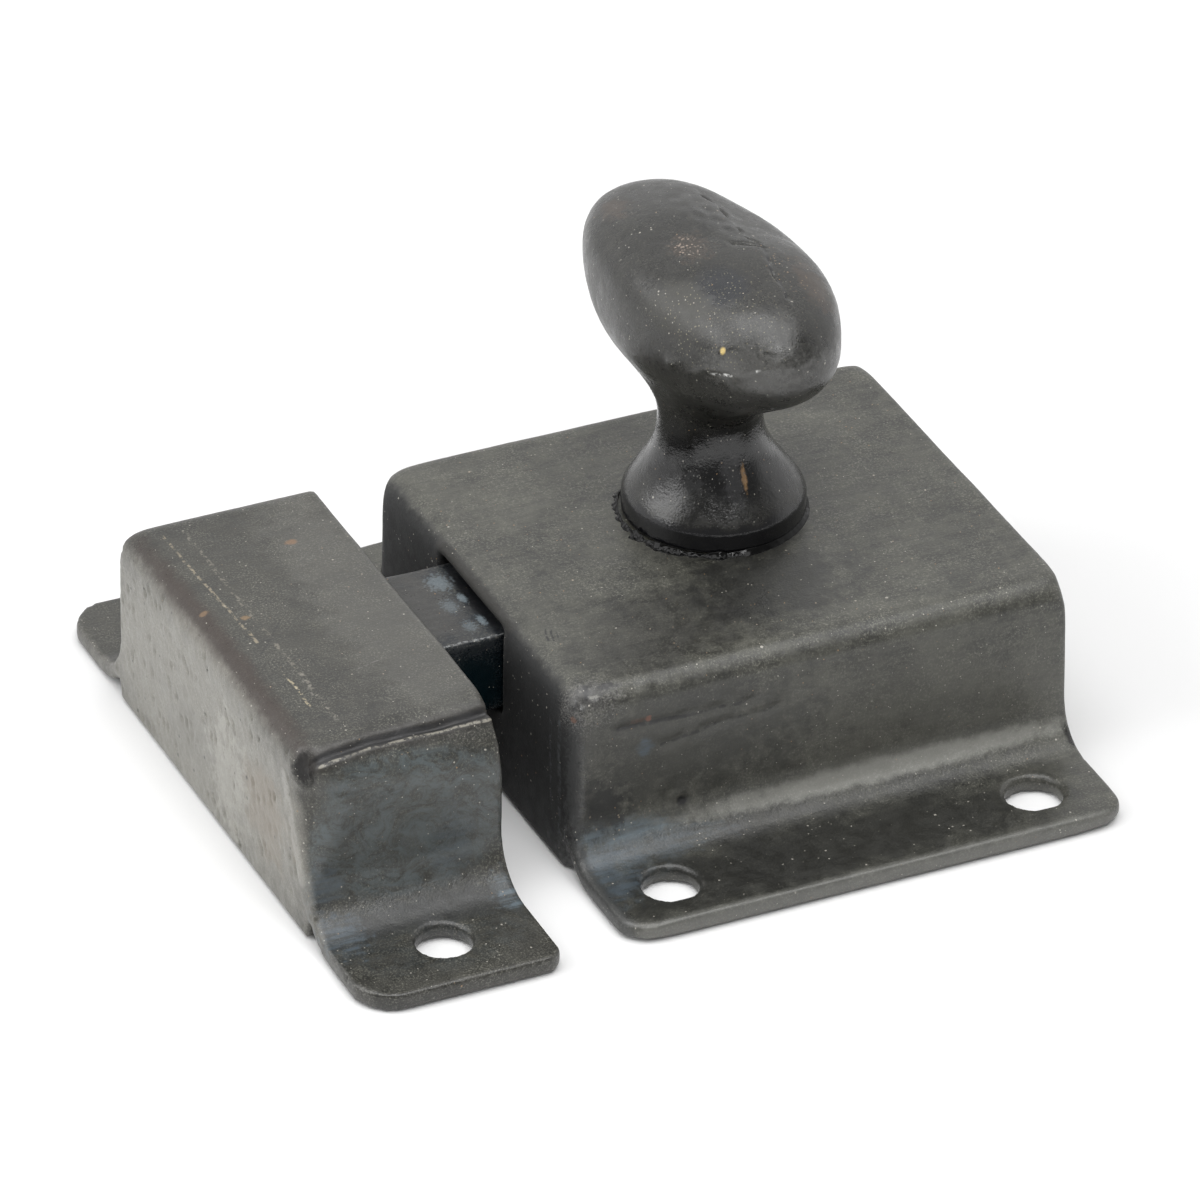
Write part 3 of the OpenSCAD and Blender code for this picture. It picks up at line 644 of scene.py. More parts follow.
keep_finish = blackened(
    "waxed_black_keep", (0.007, 0.0068, 0.0056), (0.044, 0.042, 0.034), 0.38,
    stains_and_painted_light=[
        ((-41, FRONT_WALL, 9), (14, 1.6, 9), 0.6, 3, (0.085, 0.086, 0.078), 0.3, 0),
        ((-49.4, FRONT_WALL, 4.9), (2.6, 1.5, 3), 0.8, 1.3, GUN_BLUE, 0.6, 0),
        ((-36.5, FRONT_WALL, 6.5), (2.4, 1.5, 4), 0.8, 1.8, GUN_BLUE, 0.4, 0),
        ((-41, -25, 2.2), (14, 2.2, 1.5), 0.4, 1.5, (0.010, 0.011, 0.011), 0.7, 0.05),
        ((-32.6, -25.2, 2.6), (1.6, 2.2, 2.6), 0.7, 1, PALE_BLUE, 0.8, 0.05),
        ((-49.7, 0, 17.7), (1.7, 26, 1.7), 0.3, 1.5, (0.028, 0.017, 0.012), 0.8, -0.05),
        ((-48.8, -25, 1.8), (2.6, 3.6, 1.6), 0.9, 0.9, GUN_BLUE, 0.75, 0.05),
        ((-35, 0, KEEP_TOP), (5.5, 30, 1.2), 0.5, 2, (0.15, 0.147, 0.132), 0.35, 0),
        # The end wall's pale grey: partly a film of dust, partly painted light from the lamp on the
        # left
        ((KEEP_END_WALL, 3, 8), (1, 34, 13.5), 0.20, 1.6, (0.29, 0.28, 0.245), 0.85, 0),
        ((KEEP_END_WALL, -12.5, 8), (1, 6, 5), 0.7, 2.5, (0.19, 0.155, 0.115), 0.65, 0),
        ((KEEP_END_WALL, 4, 6), (1, 9, 4.5), 1, 3.5, (0.17, 0.165, 0.145), 0.7, 0),
        ((KEEP_END_WALL, -4, 7), (1, 4.5, 6), 1.2, 1.2, (0.38, 0.37, 0.33), 0.5, 0),
        # Painted shade in the deep dent at the closed front corner, also made rougher
        ((-50, -19.4, 16.8), (1.6, 1.6, 2.4), 0.3, 0.6, (0.003, 0.0022, 0.002), 0.98, 0.52),
        # Painted shade along the crease, also made rougher
        *((tuple(a / 2 + b / 2 for a, b in zip(*ends)), (2.8, 0.6, 0.6), 0.4, 1, SOOT_AND_SHADE, 0.65, 0.25)
          for ends in marks_along(CREASE)),
        ((-39.5, -19.1, 17.7), (0.45, 0.35, 0.4), 0.6, 0.25, (0.42, 0.33, 0.20), 0.9, 0.2),
        ((-37.1, 13.1, KEEP_TOP), (0.7, 0.5, 0.5), 0.4, 0.5, (0.24, 0.14, 0.08), 0.8, 0.2),
        ((-46, 2.9, KEEP_TOP), (0.5, 0.4, 0.5), 0.4, 0.5, (0.26, 0.17, 0.09), 0.8, 0.2),
        ((-49.1, 5.3, KEEP_TOP), (0.5, 0.4, 0.6), 0.5, 0.5, (0.24, 0.15, 0.08), 0.7, 0.2)],
    scratches_and_painted_light=[
        ((-47.5, 18.8, KEEP_TOP), (-46.6, -1.3, KEEP_TOP), 0.22, 0.47, (0.28, 0.24, 0.17), 0.8),
        ((-45.4, 18.8, KEEP_TOP), (-45.1, -15.4, KEEP_TOP), 0.30, 0.53, (0.24, 0.22, 0.18), 0.55),
        ((-46.5, -7.1, KEEP_TOP), (-46.4, -12.8, KEEP_TOP), 0.20, 0.52, (0.42, 0.36, 0.24), 0.85),
        ((-45.3, -7.8, KEEP_TOP), (-45.1, -15.6, KEEP_TOP), 0.55, 0.56, (0.20, 0.19, 0.165), 0.55),
        ((-47.2, -3.4, KEEP_TOP), (-42.4, 2.2, KEEP_TOP), 0.18, 0.50, SOOT_AND_SHADE, 0.7),
        ((-40, -9, KEEP_TOP), (-37, -8.2, KEEP_TOP), 0.12, 0.45, BARE_GREY, 0.6),
        # Painted shade along the crease: a wide dark band and a near-black line
        *marks_along(CREASE, 1.5, 0.34, (0.018, 0.015, 0.012), 0.7),
        *marks_along(CREASE, 0.70, 0.24, SOOT_AND_SHADE, 0.97),
        # Painted highlight: a pale line along the lip below the crease
        *marks_along(LIP, 0.22, 0.46, (0.24, 0.225, 0.185), 0.85),
        # Painted highlight: a pale line down the end wall beside the rounded front corner
        ((KEEP_END_WALL, -16.6, 14.4), (KEEP_END_WALL, -20.4, 5.5), 0.9, 0.38,
         (0.40, 0.39, 0.36), 0.35),
        # A pale line along the open end's edge: partly a burr, partly painted highlight
        *marks_along(MOUTH, 0.26, 0.44, (0.30, 0.29, 0.26), 0.7)],
    marbling=[((-41, FRONT_WALL, 10), (11, 2.2, 9), (0.088, 0.108, 0.114), 0.85),
              ((-41, -27, 1.6), (11, 7, 4), (0.045, 0.058, 0.066), 0.25)],
    crumbs=[((KEEP_END_WALL, 2, 9), (1, 34, 15), 1.6, 0.15, 0.5, SOOT_AND_SHADE),
            ((KEEP_END_WALL, 2, 9), (1, 34, 15), 0.4, 0.06, 0.6, (0.14, 0.13, 0.11))],
    shift=(11, 2, 5), film=0.52)

knob_finish = blackened(
    "waxed_black_knob", (0.005, 0.005, 0.0045), (0.020, 0.0192, 0.0165), 0.32,
    stains_and_painted_light=[
        ((-2.6, 1.7, 47.6), (2, 2.8, 1.6), 1.4, 0.7, RUST_BROWN, 0.25, 0.08),
        ((5.8, -6.5, 46.1), (1.8, 4, 2.4), 1.1, 0.9, RUST_BROWN, 0.35, 0.08),
        ((-5, 13, 46.2), (1.6, 2.4, 1.8), 1.1, 0.8, RUST_BROWN, 0.35, 0.06),
        # Painted reflection: a dark bluish patch on the dome's top, for dark surroundings mirrored
        # there
        ((-2.8, -4.8, 47), (2.8, 3.2, 2.2), 0.35, 2, (0.014, 0.016, 0.020), 0.85, -0.08),
        ((-3, -12, 42.3), (7.5, 3.8, 2.6), 0.6, 0.6, (0.115, 0.114, 0.108), 0.7, 0),
        ((-3, -11, 38), (10, 6, 5), 0.7, 1.5, (0.052, 0.051, 0.047), 0.40, 0),
        ((-6.6, -4.2, 45.2), (3.8, 4, 2.8), 0.4, 1.5, (0.042, 0.041, 0.035), 0.65, 0.30),
        ((-4.9, -9.9, 43.6), (0.30, 0.30, 0.45), 0.2, 0.4, (0.70, 0.52, 0.18), 1, 0.2),
        # Painted shade on the neck and bell under the head, also made glossier
        ((0.5, 3, 25.5), (10.5, 10.5, 7), 0.25, 2, (0.003, 0.003, 0.0034), 0.97, -0.20),
        # Painted reflections of the two front windows: two light grey patches on the bell
        ((-4.6, -1.6, 24.6), (2, 2.4, 2.6), 1, 0.7, (0.060, 0.060, 0.060), 0.5, 0.05),
        ((0, -3.2, 25.2), (1.4, 2, 3), 0.6, 1, (0.060, 0.060, 0.062), 0.75, 0.05),
        ((1, -2.9, 24.9), (0.30, 1, 1.6), 0.5, 0.4, (0.36, 0.21, 0.09), 0.85, 0.2)],
    crumbs=[((-3.6, -7, 44.5), (8, 8, 4.5), 0.30, 0.055, 0.9, (0.24, 0.22, 0.15)),
            ((-2.8, 2.4, 47.5), (1.6, 1.9, 1.2), 0.30, 0.10, 0.9, (0.34, 0.27, 0.22)),
            ((4.5, -4, 46.5), (3, 6, 3), 0.40, 0.07, 0.8, (0.24, 0.17, 0.11)),
            ((-4.5, -2.6, 26), (3.4, 3, 4), 0.28, 0.06, 0.8, (0.16, 0.16, 0.15)),
            ((0.2, -3.6, 26), (2, 2.4, 4), 0.28, 0.06, 0.8, (0.16, 0.16, 0.15))],
    scratches_and_painted_light=[*marks_along(LAP, 0.20, 0.37, SOOT_AND_SHADE, 0.95),
               *marks_along(LAP_BRANCH, 0.22, 0.46, SOOT_AND_SHADE, 0.8),
               # Painted highlight: pale dashes along the crest
               *marks_along(RIDGE[2:-1], 0.24, 0.50, (0.62, 0.62, 0.60), 0.9)],
    dust=0.5, shift=(5, 1, 9), edge_wear=0.0, gloss=(CASE_TOP + 2.5, CASE_TOP + 3.3, 0.07),
    film=0.2)

bolt_finish = blackened(
    "blued_bolt", (0.004, 0.006, 0.009), (0.026, 0.030, 0.035), 0.34,
    stains_and_painted_light=[
        ((-30, 1, 16.6), (5, 8, 1), 0.7, 2.5, (0.058, 0.055, 0.050), 0.8, 0.02),
        # Painted shade: a dark band across the top where the bolt runs in under the slot's lip
        ((-24.6, 0.4, 16.5), (0.9, 8, 1), 0.3, 1, SOOT_AND_SHADE, 0.85, 0),
        ((-26.4, 4, 16.5), (1.2, 1.6, 1), 1, 0.35, FROST, 0.7, 0.12),
        ((-25.5, 0.8, 16.5), (0.45, 0.9, 1), 0.8, 0.3, FROST, 0.85, 0.12),
        ((-25.4, -3.3, 16.5), (0.45, 1.1, 1), 0.8, 0.3, FROST, 0.85, 0.12),
        ((-27.1, 0, 16.5), (0.8, 1.3, 1), 1.3, 0.25, FROST, 0.5, 0.1),
        ((-26.8, -3.8, 16.5), (0.7, 1, 1), 1.3, 0.25, FROST, 0.5, 0.1),
        # The front side: dark bluing, deepened with painted shade
        ((-30, -6.4, 11), (9, 1.6, 5.6), 0.1, 2, (0.001, 0.007, 0.010), 0.97, -0.16)],
    scratches_and_painted_light=[((-38, -6, 16.4), (-24.5, -6, 16.4), 0.15, 0.48, (0.24, 0.25, 0.25), 0.7)],
    dust=0.25, shift=(2, 9, 4), film=0.35, ior=1.45)

inner_finish = blackened(
    "dull_black_inside", (0.018, 0.0175, 0.017), (0.045, 0.044, 0.042), 0.5,
    dust=0.15, shift=(8, 8, 2), edge_wear=0.0)
wax_finish = blackened(
    "hard_black_wax", (0.002, 0.002, 0.002), (0.006, 0.006, 0.006), 0.10,
    dust=0.10, bump=0.05, shift=(1, 4, 6), edge_wear=0.0, film=0.0, ior=1.26)
crank_finish = blackened(
    "blued_crank", (0.014, 0.017, 0.021), (0.05, 0.055, 0.062), 0.36,
    dust=0.15, shift=(6, 3, 2), edge_wear=0.0)
bright_steel = steel("plain_drawn_steel", (0.34, 0.34, 0.345), 0.28, 0.35)


def finish_piece(piece, material, body, slot, *nodes):
    """Gives a piece its material and body, and hides the solids that it stands in for. The slot is
    not used.
    """
    piece.data.materials.clear()
    piece.data.materials.append(material)
    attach(piece, body)
    if nodes:
        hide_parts(*nodes)
    return piece


# Case


def square_lip(p):
    """Sharpens the bend above the bolt's slot: seen from the side, its points are drawn out from
    the middle of the round until it is a blunt corner."""
    bend, middle = 2.4, (-22.6, 16.1)
    a = np.clip((middle[0] - p[:, 0]) / bend, 0, None)
    b = np.clip((p[:, 2] - middle[1]) / bend, 0, None)
    far = np.maximum(np.hypot(a, b), 1e-6)
    blunt = 1 / ((a / far) ** 6 + (b / far) ** 6 + 1e-9) ** (1 / 6)
    out = np.where((a > 0) & (b > 0), blunt - 1, 0) * (1 - step(np.abs(p[:, 1] - 0.4), 5.8, 9.6))
    moved = p.copy()
    moved[:, 0] -= a * bend * out
    moved[:, 2] += b * bend * out
    return moved


def make_case():
    """The folded case: its even skin with a blunt lip over the bolt's slot, a far end wall that
    leans in and eased corners, then pushed along its normals by lumps of three sizes, by dents
    round the corner that was hammered shut, and by grooves and a pit in the front wall."""
    mesh = worked_skin("case", "folded_case", 0.40, 3)
    p, n = read_points(mesh)
    p = square_lip(p)
    p[:, 0] += step(p[:, 0], 14, 25) * (0.35 - 0.65 * p[:, 2] / CASE_TOP)
    flange_corners = [(x, y, 1.2) for x in (-23.6, 23.6) for y in (-34.0, 34.0)]
    for middles, reach, rounds in (
            ([(-24.6, 21.3, 18.0)], 2.6, 28),
            ([(24.8, 21.4, 18.2), (24.8, -21.4, 18.2)], 2.0, 20),
            ([(-24.6, -21.3, 18.0)], 2.4, 25),
            ([(-24.4, -21.4, 4.4), (-24.4, -21.4, 6.4)], 1.5, 25),
            (flange_corners, 2.2, 14)):
        p = ease_near(mesh, p, middles, reach, rounds)
    p[:, 2] = np.maximum(p[:, 2], 0)
    x, y, z = p.T
    lift = lumps(p, (0.022, 15, 1), (0.005, 4.5, 2), (0.003, 1.3, 3))
    hammered = egg(p, (-23.8, -20.8, 17.3), (2.6, 2.0, 3.4))
    lift += hammered * lumps(p, (0.05, 1.7, 4), (0.07, 0.9, 5))
    edge = fall(y + 20.9, 1.1) * fall(z - 17.6, 1.1) * step(-x, 8, 20)
    lift += edge * lumps(p, (0.04, 2.6, 6), (0.03, 1.0, 7))
    lift -= 0.45 * fall(away_from(p, [(-23.6, -20.3, 18.4), (-23.5, -21.0, 17.4)]), 0.30)
    front = fall(y - FRONT_WALL, 0.7)
    for line, depth, width in zip(GROOVES, (0.15, 0.11), (0.45, 0.42)):
        lift -= depth * fall(away_from(p, line), width) * front * (0.75 + 0.35 * waves(p, 2.0, 8))
    pit = np.linalg.norm(p - PIT, axis=1)
    lift += -0.30 * fall(pit, 0.45) + 0.08 * fall(pit - 0.85, 0.3)
    lift *= step(z, 0.1, 0.8)
    write_points(mesh, p + n * lift[:, None])
    note_ridges(mesh)
    return finish_piece(show("folded_case", mesh), case_finish, "case_set", "blackened_sheet", "case")


# Keep


def open_bends(p):
    """Widens the keep's front bend towards its open end: seen end on, the points of the bend are
    drawn in along the line to the middle of a growing circle until the skin lies on it."""
    bend, widest = 4.0, 6.7
    x, y, z = p.T
    reach = bend + (widest - bend) * np.clip((x + 46.0) / 14.5, 0, 1)
    across, down = reach - (y - FRONT_WALL), reach - (KEEP_TOP - z)
    q = np.clip(np.stack([across, down], 1), 1e-6, None)
    d = np.linalg.norm(q, axis=1)
    way = q / d[:, None]
    middle = reach - bend
    ahead = middle * way.sum(1)
    on_arc = ahead + np.sqrt(np.maximum(ahead ** 2 - 2 * middle ** 2 + bend ** 2, 0))
    on_flat = reach / way.max(1)
    arc_point = way * on_arc[:, None]
    skin = np.where(arc_point.min(1) >= middle, on_arc, on_flat)
    inside = (across > 0) & (down > 0)
    near_skin = step(d, reach - 4.2, reach - 2.6)
    pull = np.where(inside, (1 - reach / np.maximum(skin, reach)) * near_skin, 0)
    moved = p.copy()
    moved[:, 1] += q[:, 0] * pull
    moved[:, 2] -= q[:, 1] * pull
    return moved


def round_corner(p):
    """Rounds the keep's closed front corner into part of a cone: seen from above, the points of
    the corner are drawn in along the line to the middle of a circle that widens upwards."""
    radius = np.interp(p[:, 2], [3.4, 5.2, 14.0, 16.2, 18.4], [0.3, 1.2, 5.0, 3.2, 1.2])
    q = np.stack([radius - (p[:, 0] - KEEP_END_WALL), radius - (p[:, 1] - FRONT_WALL)], 1)
    inside = (q.min(1) > 0) & (q.max(1) < radius + 0.5) & (p[:, 2] > 3.4)
    way = np.clip(q, 1e-6, None) / np.linalg.norm(np.clip(q, 1e-6, None), axis=1)[:, None]
    pull = np.where(inside, 1 - way.max(1), 0)
    moved = p.copy()
    moved[:, :2] += q * pull[:, None]
    return moved


def make_keep():
    """The folded keep: its even skin with a widening front bend and a round closed corner, then
    pushed along its normals by lumps, by the crease where the front wall is folded under the
    top and the lip below it, by the dent at its end and by the small pits of the end wall."""
    mesh = worked_skin("keep", "folded_keep", 0.32, 3)
    p, n = read_points(mesh)
    p = round_corner(open_bends(p))
    p = ease_near(mesh, p, [(-50.3, 21.3, 18.0)], 2.2, 22)
    p = ease_near(mesh, p, [(KEEP_END_WALL, -15.0, 11.0), (KEEP_END_WALL, -15.5, 6.0)], 4.0, 12)
    x, _, z = p.T
    lift = lumps(p, (0.018, 12, 11), (0.005, 3.8, 12), (0.003, 1.2, 13))
    lift -= 0.40 * fall(away_from(p, CREASE), 0.44) * (0.90 + 0.09 * waves(p, 3, 14))
    lift += 0.10 * fall(away_from(p, LIP), 0.34) * (0.9 + 0.1 * waves(p, 2, 18))
    lift -= 0.95 * egg(p, (-50.0, -19.5, 17.0), (0.825, 0.9, 1.35))
    wall = fall(x - KEEP_END_WALL, 0.8)
    pits = waves(p * (1, 1.6, 0.8), 1.3, 15)
    lift -= wall * (0.13 * np.clip(pits - 1.2, 0, 2) + 0.012 * waves(p, 0.9, 16))
    bend = fall(x - KEEP_END_WALL - 0.8, 1.0) * fall(z - 17.6, 1.0)
    lift += bend * 0.010 * waves(p, 1.8, 17)
    lift *= step(z, 0.1, 0.8)
    write_points(mesh, p + n * lift[:, None])
    note_ridges(mesh)
    return finish_piece(show("folded_keep", mesh), keep_finish, "case_set", "blackened_sheet", "keep")


# Bolt


def make_bolt():
    """The bolt: its even skin pushed along its normals by file marks and fine lumps."""
    mesh = worked_skin("bolt", "blued_bolt", 0.26, 2)
    p, n = read_points(mesh)
    lift = 0.012 * waves(p, 4, 21) + 0.008 * waves(p * (0.25, 1.4, 1), 1.0, 22)
    write_points(mesh, p + n * lift[:, None])
    note_ridges(mesh)
    return finish_piece(show("blued_bolt_bar", mesh), bolt_finish, "bolt_set", "blued_steel", "bolt")


# Knob


def make_knob():
    """The cast knob with its spindle: rings about the spindle, each an ellipse or, on the tenon,
    a square, whose size and height run along one profile from the hammered end to the dome. The
    skin is then pushed along its normals by lumps, by the cold lap and by the crest."""
    columns = 380
    neck, foot, rim, bell_top, flare_foot = 9.7 / 2, KNOB_FOOT, 1.9, 11.4, 10.4
    middle, rise, half_long, half_wide, half_tenon = 22.8, 6.4, 17.2, 9.4, 1.8
    even = lambda a, b, count: np.linspace(a, b, count)

    def rows(height, long, wide=None, square=0.0):
        """Rings of the profile: height, half length, half width, and 1 where it is a square."""
        height, long = np.broadcast_arrays(height, long)
        wide = long if wide is None else wide
        return np.stack([height, long, wide, np.full(len(height), square)], 1)

    level = np.concatenate([even(rim, bell_top, 54), even(bell_top, middle, 53)[1:]])
    bell = (1 - np.clip((level - rim) / (bell_top - rim), 0, 1) ** 1.4) ** 3.0
    spread = (1 - np.clip((middle - level) / (middle - flare_foot), 0, 1) ** 2.2) ** 2.4
    stem = rows(level, neck + (foot - neck) * bell + (half_long - neck) * spread,
                neck + (foot - neck) * bell + (half_wide - neck) * spread)
    k = np.sin(even(0, pi / 2, 78)[1:])
    dome = (1 - np.minimum(k, 1 - 1e-6) ** 2.6) ** (1 / 2.6)
    cap = rows(middle + rise * k, half_long * dome, half_wide * dome)
    turn = even(0, pi / 2, 6)
    profile = np.concatenate([
        rows(even(-5.7, -5.7, 3), even(0.02, 2.2, 3)), rows(even(-5.62, -4.9, 4), even(2.2, 2.75, 4)),
        rows(even(-4.9, -4.88, 2), even(2.6, 2.3, 2)),
        rows(even(-4.87, -2.52, 4), half_tenon, square=1.0),
        rows(even(-2.5, -2.5, 2), even(2.6, 3.42, 2)), rows(even(-2.45, 0.08, 5), 3.5),
        rows(even(0.1, 0.1, 6), even(3.55, foot - 0.42, 6)),
        rows(0.5 - 0.4 * np.cos(turn), foot - 0.4 + 0.4 * np.sin(turn)),
        rows(even(0.6, rim - 0.05, 9), foot), stem[1:], cap])
    height, long, wide, square = (c[:, None] for c in profile.T)
    angle = even(0, 2 * pi, columns + 1)[:-1][None, :]
    tenon = np.maximum(np.abs(np.cos(angle - pi / 4)), np.abs(np.sin(angle - pi / 4)))
    long = np.where(square > 0, half_tenon / tenon, long)
    wide = np.where(square > 0, half_tenon / tenon, wide)
    turned = radians(4) * step(height, 0, 12)
    across, along = wide * np.cos(angle), long * np.sin(angle)
    lean = 0.22 * step(height, -0.5, 0.5) - 0.55 * step(height, 2, 11) - 0.15 * step(height, 10, 23)
    points = np.stack([across * np.cos(turned) - along * np.sin(turned) + SPINDLE[0] + lean,
                       across * np.sin(turned) + along * np.cos(turned) + SPINDLE[1],
                       np.broadcast_to(height + CASE_TOP, across.shape)], 2)
    mesh = grid_mesh("cast_knob", points, closed_v=True, ends=True)
    p, n = read_points(mesh)
    x, y, z = p.T
    body = step(z, CASE_TOP + 2.0, CASE_TOP + 4.0)
    head = step(z, CASE_TOP + 13, CASE_TOP + 18)
    lift = body * lumps(p, (0.025, 7, 31), (0.004, 2.0, 32))
    lift += head * lumps(p, (0.05, 11, 33), (0.003, 0.9, 34))
    lap = away_from(p, LAP)
    torn = np.clip(0.75 + 0.6 * waves(p, 2.4, 35), 0, 1.6)
    across_lap = x - np.interp(-y, [-c[1] for c in LAP], [c[0] for c in LAP])
    outside = step(across_lap, -0.25, 0.35)
    lift += head * (-0.28 * fall(lap, 0.20) * torn - 0.12 * outside * fall(lap, 2.2))
    lift -= 0.85 * egg(p, (5.6, 6.0, 46.2), (3.4, 6.0, 3.0))
    lift += 0.45 * egg(p, (-8.0, 0.5, 38.5), (3.0, 8.0, 3.0))
    wrinkled = egg(p, (1.6, 6.5, 47.6), (2.6, 5.0, 1.5))
    lift += 0.035 * wrinkled * waves(p * (1.0, 0.6, 1.0), 1.3, 37)
    lift -= head * 0.20 * fall(away_from(p, LAP_BRANCH), 0.22)
    lift += 0.14 * fall(away_from(p, RIDGE), 0.55) * np.clip(0.7 + 0.5 * waves(p, 2.2, 36), 0, 1.5)
    lift += 0.10 * egg(p, (-1.0, -9.0, 45.6), (5, 2.0, 2)) * head
    write_points(mesh, p + n * lift[:, None])
    note_upward(mesh)
    return finish_piece(show("cast_knob", mesh), knob_finish, "knob_set", "blackened_iron", "knob")


def make_wax_bead():
    """Hardened wax on the case round the knob's foot: a hollow fillet, from a standing edge close
    to the rim down to a thin edge on the case, whose height and width change in lumps."""
    columns, across = 460, 12
    turn = np.linspace(0, 2 * pi, columns, endpoint=False)[:, None]
    share = np.linspace(0, 1, across)[None, :]
    path = np.concatenate([9.0 * np.cos(turn), 9.0 * np.sin(turn), 0 * turn], 1)
    rough = step(np.cos(turn - radians(180)), -0.1, 0.9)
    lump = 0.6 * waves(path, 2.6, 41)[:, None] + 0.4 * waves(path, 0.9, 42)[:, None]
    tall = np.clip(0.46 - 0.12 * rough + (0.01 + 0.16 * rough) * lump, 0.10, 0.70)
    wide = np.clip(0.44 + (0.02 + 0.22 * rough) * lump, 0.15, 0.95)
    outer = KNOB_FOOT + 0.09 + wide * share
    height = tall * (1 - share) ** (1.1 + 1.1 * rough)
    under = np.full_like(outer, -0.12)
    ring = np.concatenate([outer, outer[:, ::-1]], 1)
    level = np.concatenate([height, under], 1)
    points = np.stack([SPINDLE[0] + ring * np.cos(turn), SPINDLE[1] + ring * np.sin(turn),
                       CASE_TOP + level], 2)
    mesh = grid_mesh("wax_bead", points, closed_u=True, closed_v=True)
    p, n = read_points(mesh)
    write_points(mesh, p + n * ((0.004 + 0.022 * rough.repeat(2 * across, 1).ravel())
                                * waves(p, 0.6, 44))[:, None])
    return finish_piece(show("wax_bead", mesh), wax_finish, "case_set", "blackened_sheet")


def make_spring():
    """Coil spring: a round wire carried along a helix whose end turns lie close."""
    turns, wire, outside, length = 6, 0.9, 7.0, 13.4
    start = (10.0 + 0.02 + wire / 2, 0.4, 12.5)
    close = wire * 1.1
    free = (length - wire - 0.04 - 2 * close) / (turns - 2)
    t = np.linspace(0, turns, turns * 48 + 1)[:, None]
    side = np.linspace(0, 2 * pi, 14, endpoint=False)[None, :]
    opened = np.clip(t - 1, 0, turns - 2)
    along = close * (t - opened) + free * opened + wire / 2 * np.sin(side)
    radius = (outside - wire) / 2 + wire / 2 * np.cos(side)
    points = np.stack([start[0] + along, start[1] + radius * np.sin(2 * pi * t),
                       start[2] - radius * np.cos(2 * pi * t)], 2)
    piece = show("coil_spring", grid_mesh("coil_spring", points, closed_v=True, ends=True))
    finish_piece(piece, bright_steel, "case_set", "plain_steel", "spring")
    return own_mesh(piece)


make_case()
make_keep()
make_bolt()
make_knob()
make_wax_bead()
make_spring()

for node, material in (("spindle_washer", bright_steel), ("crank", crank_finish),
                       ("crank_pin", bright_steel), ("bolt_guide", inner_finish),
                       ("spring_peg", inner_finish)):
    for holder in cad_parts[node].material_slots:
        holder.material = material


# Floor, light and camera


def background_share(tree):
    """1 for rays that show the surroundings: straight to the camera, in gloss or through glass."""
    path = put(tree, "LightPath").outputs
    seen = calc(tree, "MAXIMUM", path["Is Camera Ray"], path["Is Glossy Ray"])
    return calc(tree, "MAXIMUM", seen, path["Is Transmission Ray"])


def make_floor():
    """A wide level sheet of white paper: a grid of points just under the mounting plane."""
    x, y = np.meshgrid(np.linspace(-3, 3, 13) / MM, np.linspace(-3, 3, 13) / MM, indexing="ij")
    floor = show("floor", grid_mesh("floor", np.stack([x, y, 0 * x - FLOOR_DROP], 2)[::-1]))
    material, tree, shader = start_material("white_paper", 1.5)
    shader.inputs["Base Color"].default_value = (0.84, 0.84, 0.84, 1)
    shader.inputs["Roughness"].default_value = 0.9
    shader.inputs["Specular IOR Level"].default_value = 0.0
    shine = times(tree, background_share(tree), 0.04)
    glow = put(tree, "Emission", {"Color": (1, 1, 1, 1), "Strength": shine})
    both = put(tree, "AddShader", {0: shader.outputs[0], 1: glow.outputs[0]})
    tree.links.new(both.outputs[0], tree.nodes["Material Output"].inputs["Surface"])
    floor.data.materials.append(material)


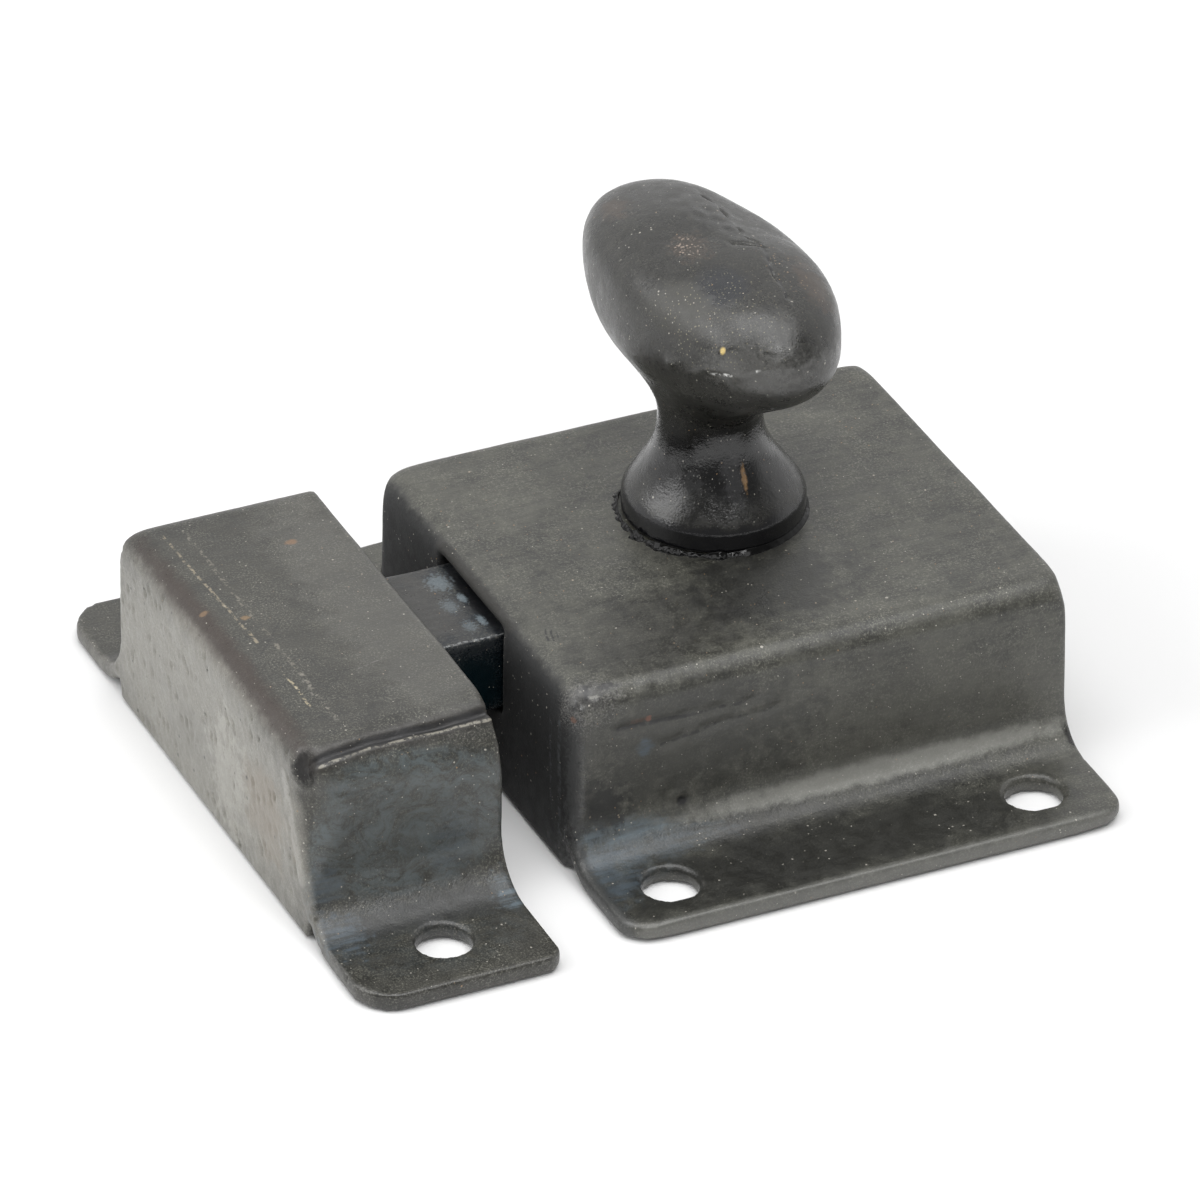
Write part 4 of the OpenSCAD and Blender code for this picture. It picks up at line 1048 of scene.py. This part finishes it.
def make_world():
    """A white room: white behind the part, weaker as a light on it, and dim in reflections of
    the side that the camera stands on."""
    world = bpy.data.worlds.new("white_room")
    world.use_nodes = True
    tree = world.node_tree
    room = tree.nodes["Background"]
    room.inputs["Color"].default_value = (1, 1, 1, 1)
    room.inputs["Strength"].default_value = 0.32
    path = put(tree, "LightPath").outputs
    way = put(tree, "TexCoord").outputs["Generated"]
    ahead = vec(tree, "DOT_PRODUCT", way, (-0.22, -0.93, 0.30), out=1)
    white = put(tree, "Background", {"Color": (1, 1, 1, 1), "Strength": 1.0})
    backdrop = calc(tree, "MAXIMUM", path["Is Camera Ray"], fade(tree, ahead, 0.05, 0.6, 1.0, 0.0))
    dim = put(tree, "Background", {"Color": (1, 1, 1, 1), "Strength": 0.24})
    shown = put(tree, "MixShader", {0: backdrop, 1: dim.outputs[0], 2: white.outputs[0]})
    chosen = put(tree, "MixShader", {0: background_share(tree), 1: room.outputs[0],
                                     2: shown.outputs[0]})
    tree.links.new(chosen.outputs[0], tree.nodes["World Output"].inputs["Surface"])
    scene.world = world


def softbox(name, place, target, size, power):
    """A rectangular lamp that faces a target. Places and sizes are in metres."""
    light = bpy.data.lights.new(name, "AREA")
    light.shape, light.size, light.size_y, light.energy = "RECTANGLE", size[0], size[1], power
    lamp = bpy.data.objects.new(name, light)
    lamp.location = place
    lamp.rotation_euler = (Vector(target) - Vector(place)).to_track_quat("-Z", "Y").to_euler()
    scene.collection.objects.link(lamp)


def make_camera():
    """The photograph's camera: turned and raised about the origin, slid in its own plane and
    rolled a little."""
    turn, rise, roll = radians(-25.283), radians(32.363), radians(0.858)
    distance, aside, higher = 921.56, -10.742, 8.672
    back = Vector((sin(turn) * cos(rise), -cos(turn) * cos(rise), sin(rise)))
    level = Vector((cos(turn), sin(turn), 0))
    upright = back.cross(level)
    right = cos(roll) * level + sin(roll) * upright
    up = -sin(roll) * level + cos(roll) * upright
    eye = (back * distance + right * aside + up * higher) * MM
    data = bpy.data.cameras.new("photo_camera")
    data.lens, data.sensor_width = 298.43, 36
    data.clip_start, data.clip_end = 0.01, 20
    camera = bpy.data.objects.new("photo_camera", data)
    facing = Matrix((right, up, back)).transposed().to_4x4()
    camera.matrix_world = Matrix.Translation(eye) @ facing
    scene.collection.objects.link(camera)
    scene.camera = camera


make_floor()
make_world()
softbox("overhead_softbox", (-0.05, -0.12, 0.85), (0, 0, 0), (0.9, 0.7), 6.0)
softbox("left_softbox", (-0.75, 0.16, 0.55), (-0.02, 0, 0.01), (0.8, 0.6), 4.2)
softbox("front_left_window", (-0.217, -0.536, 0.69), (0, 0, 0.02), (0.16, 0.12), 0.8)
softbox("front_right_window", (0.080, -0.573, 0.69), (0, 0, 0.02), (0.16, 0.12), 0.8)
make_camera()
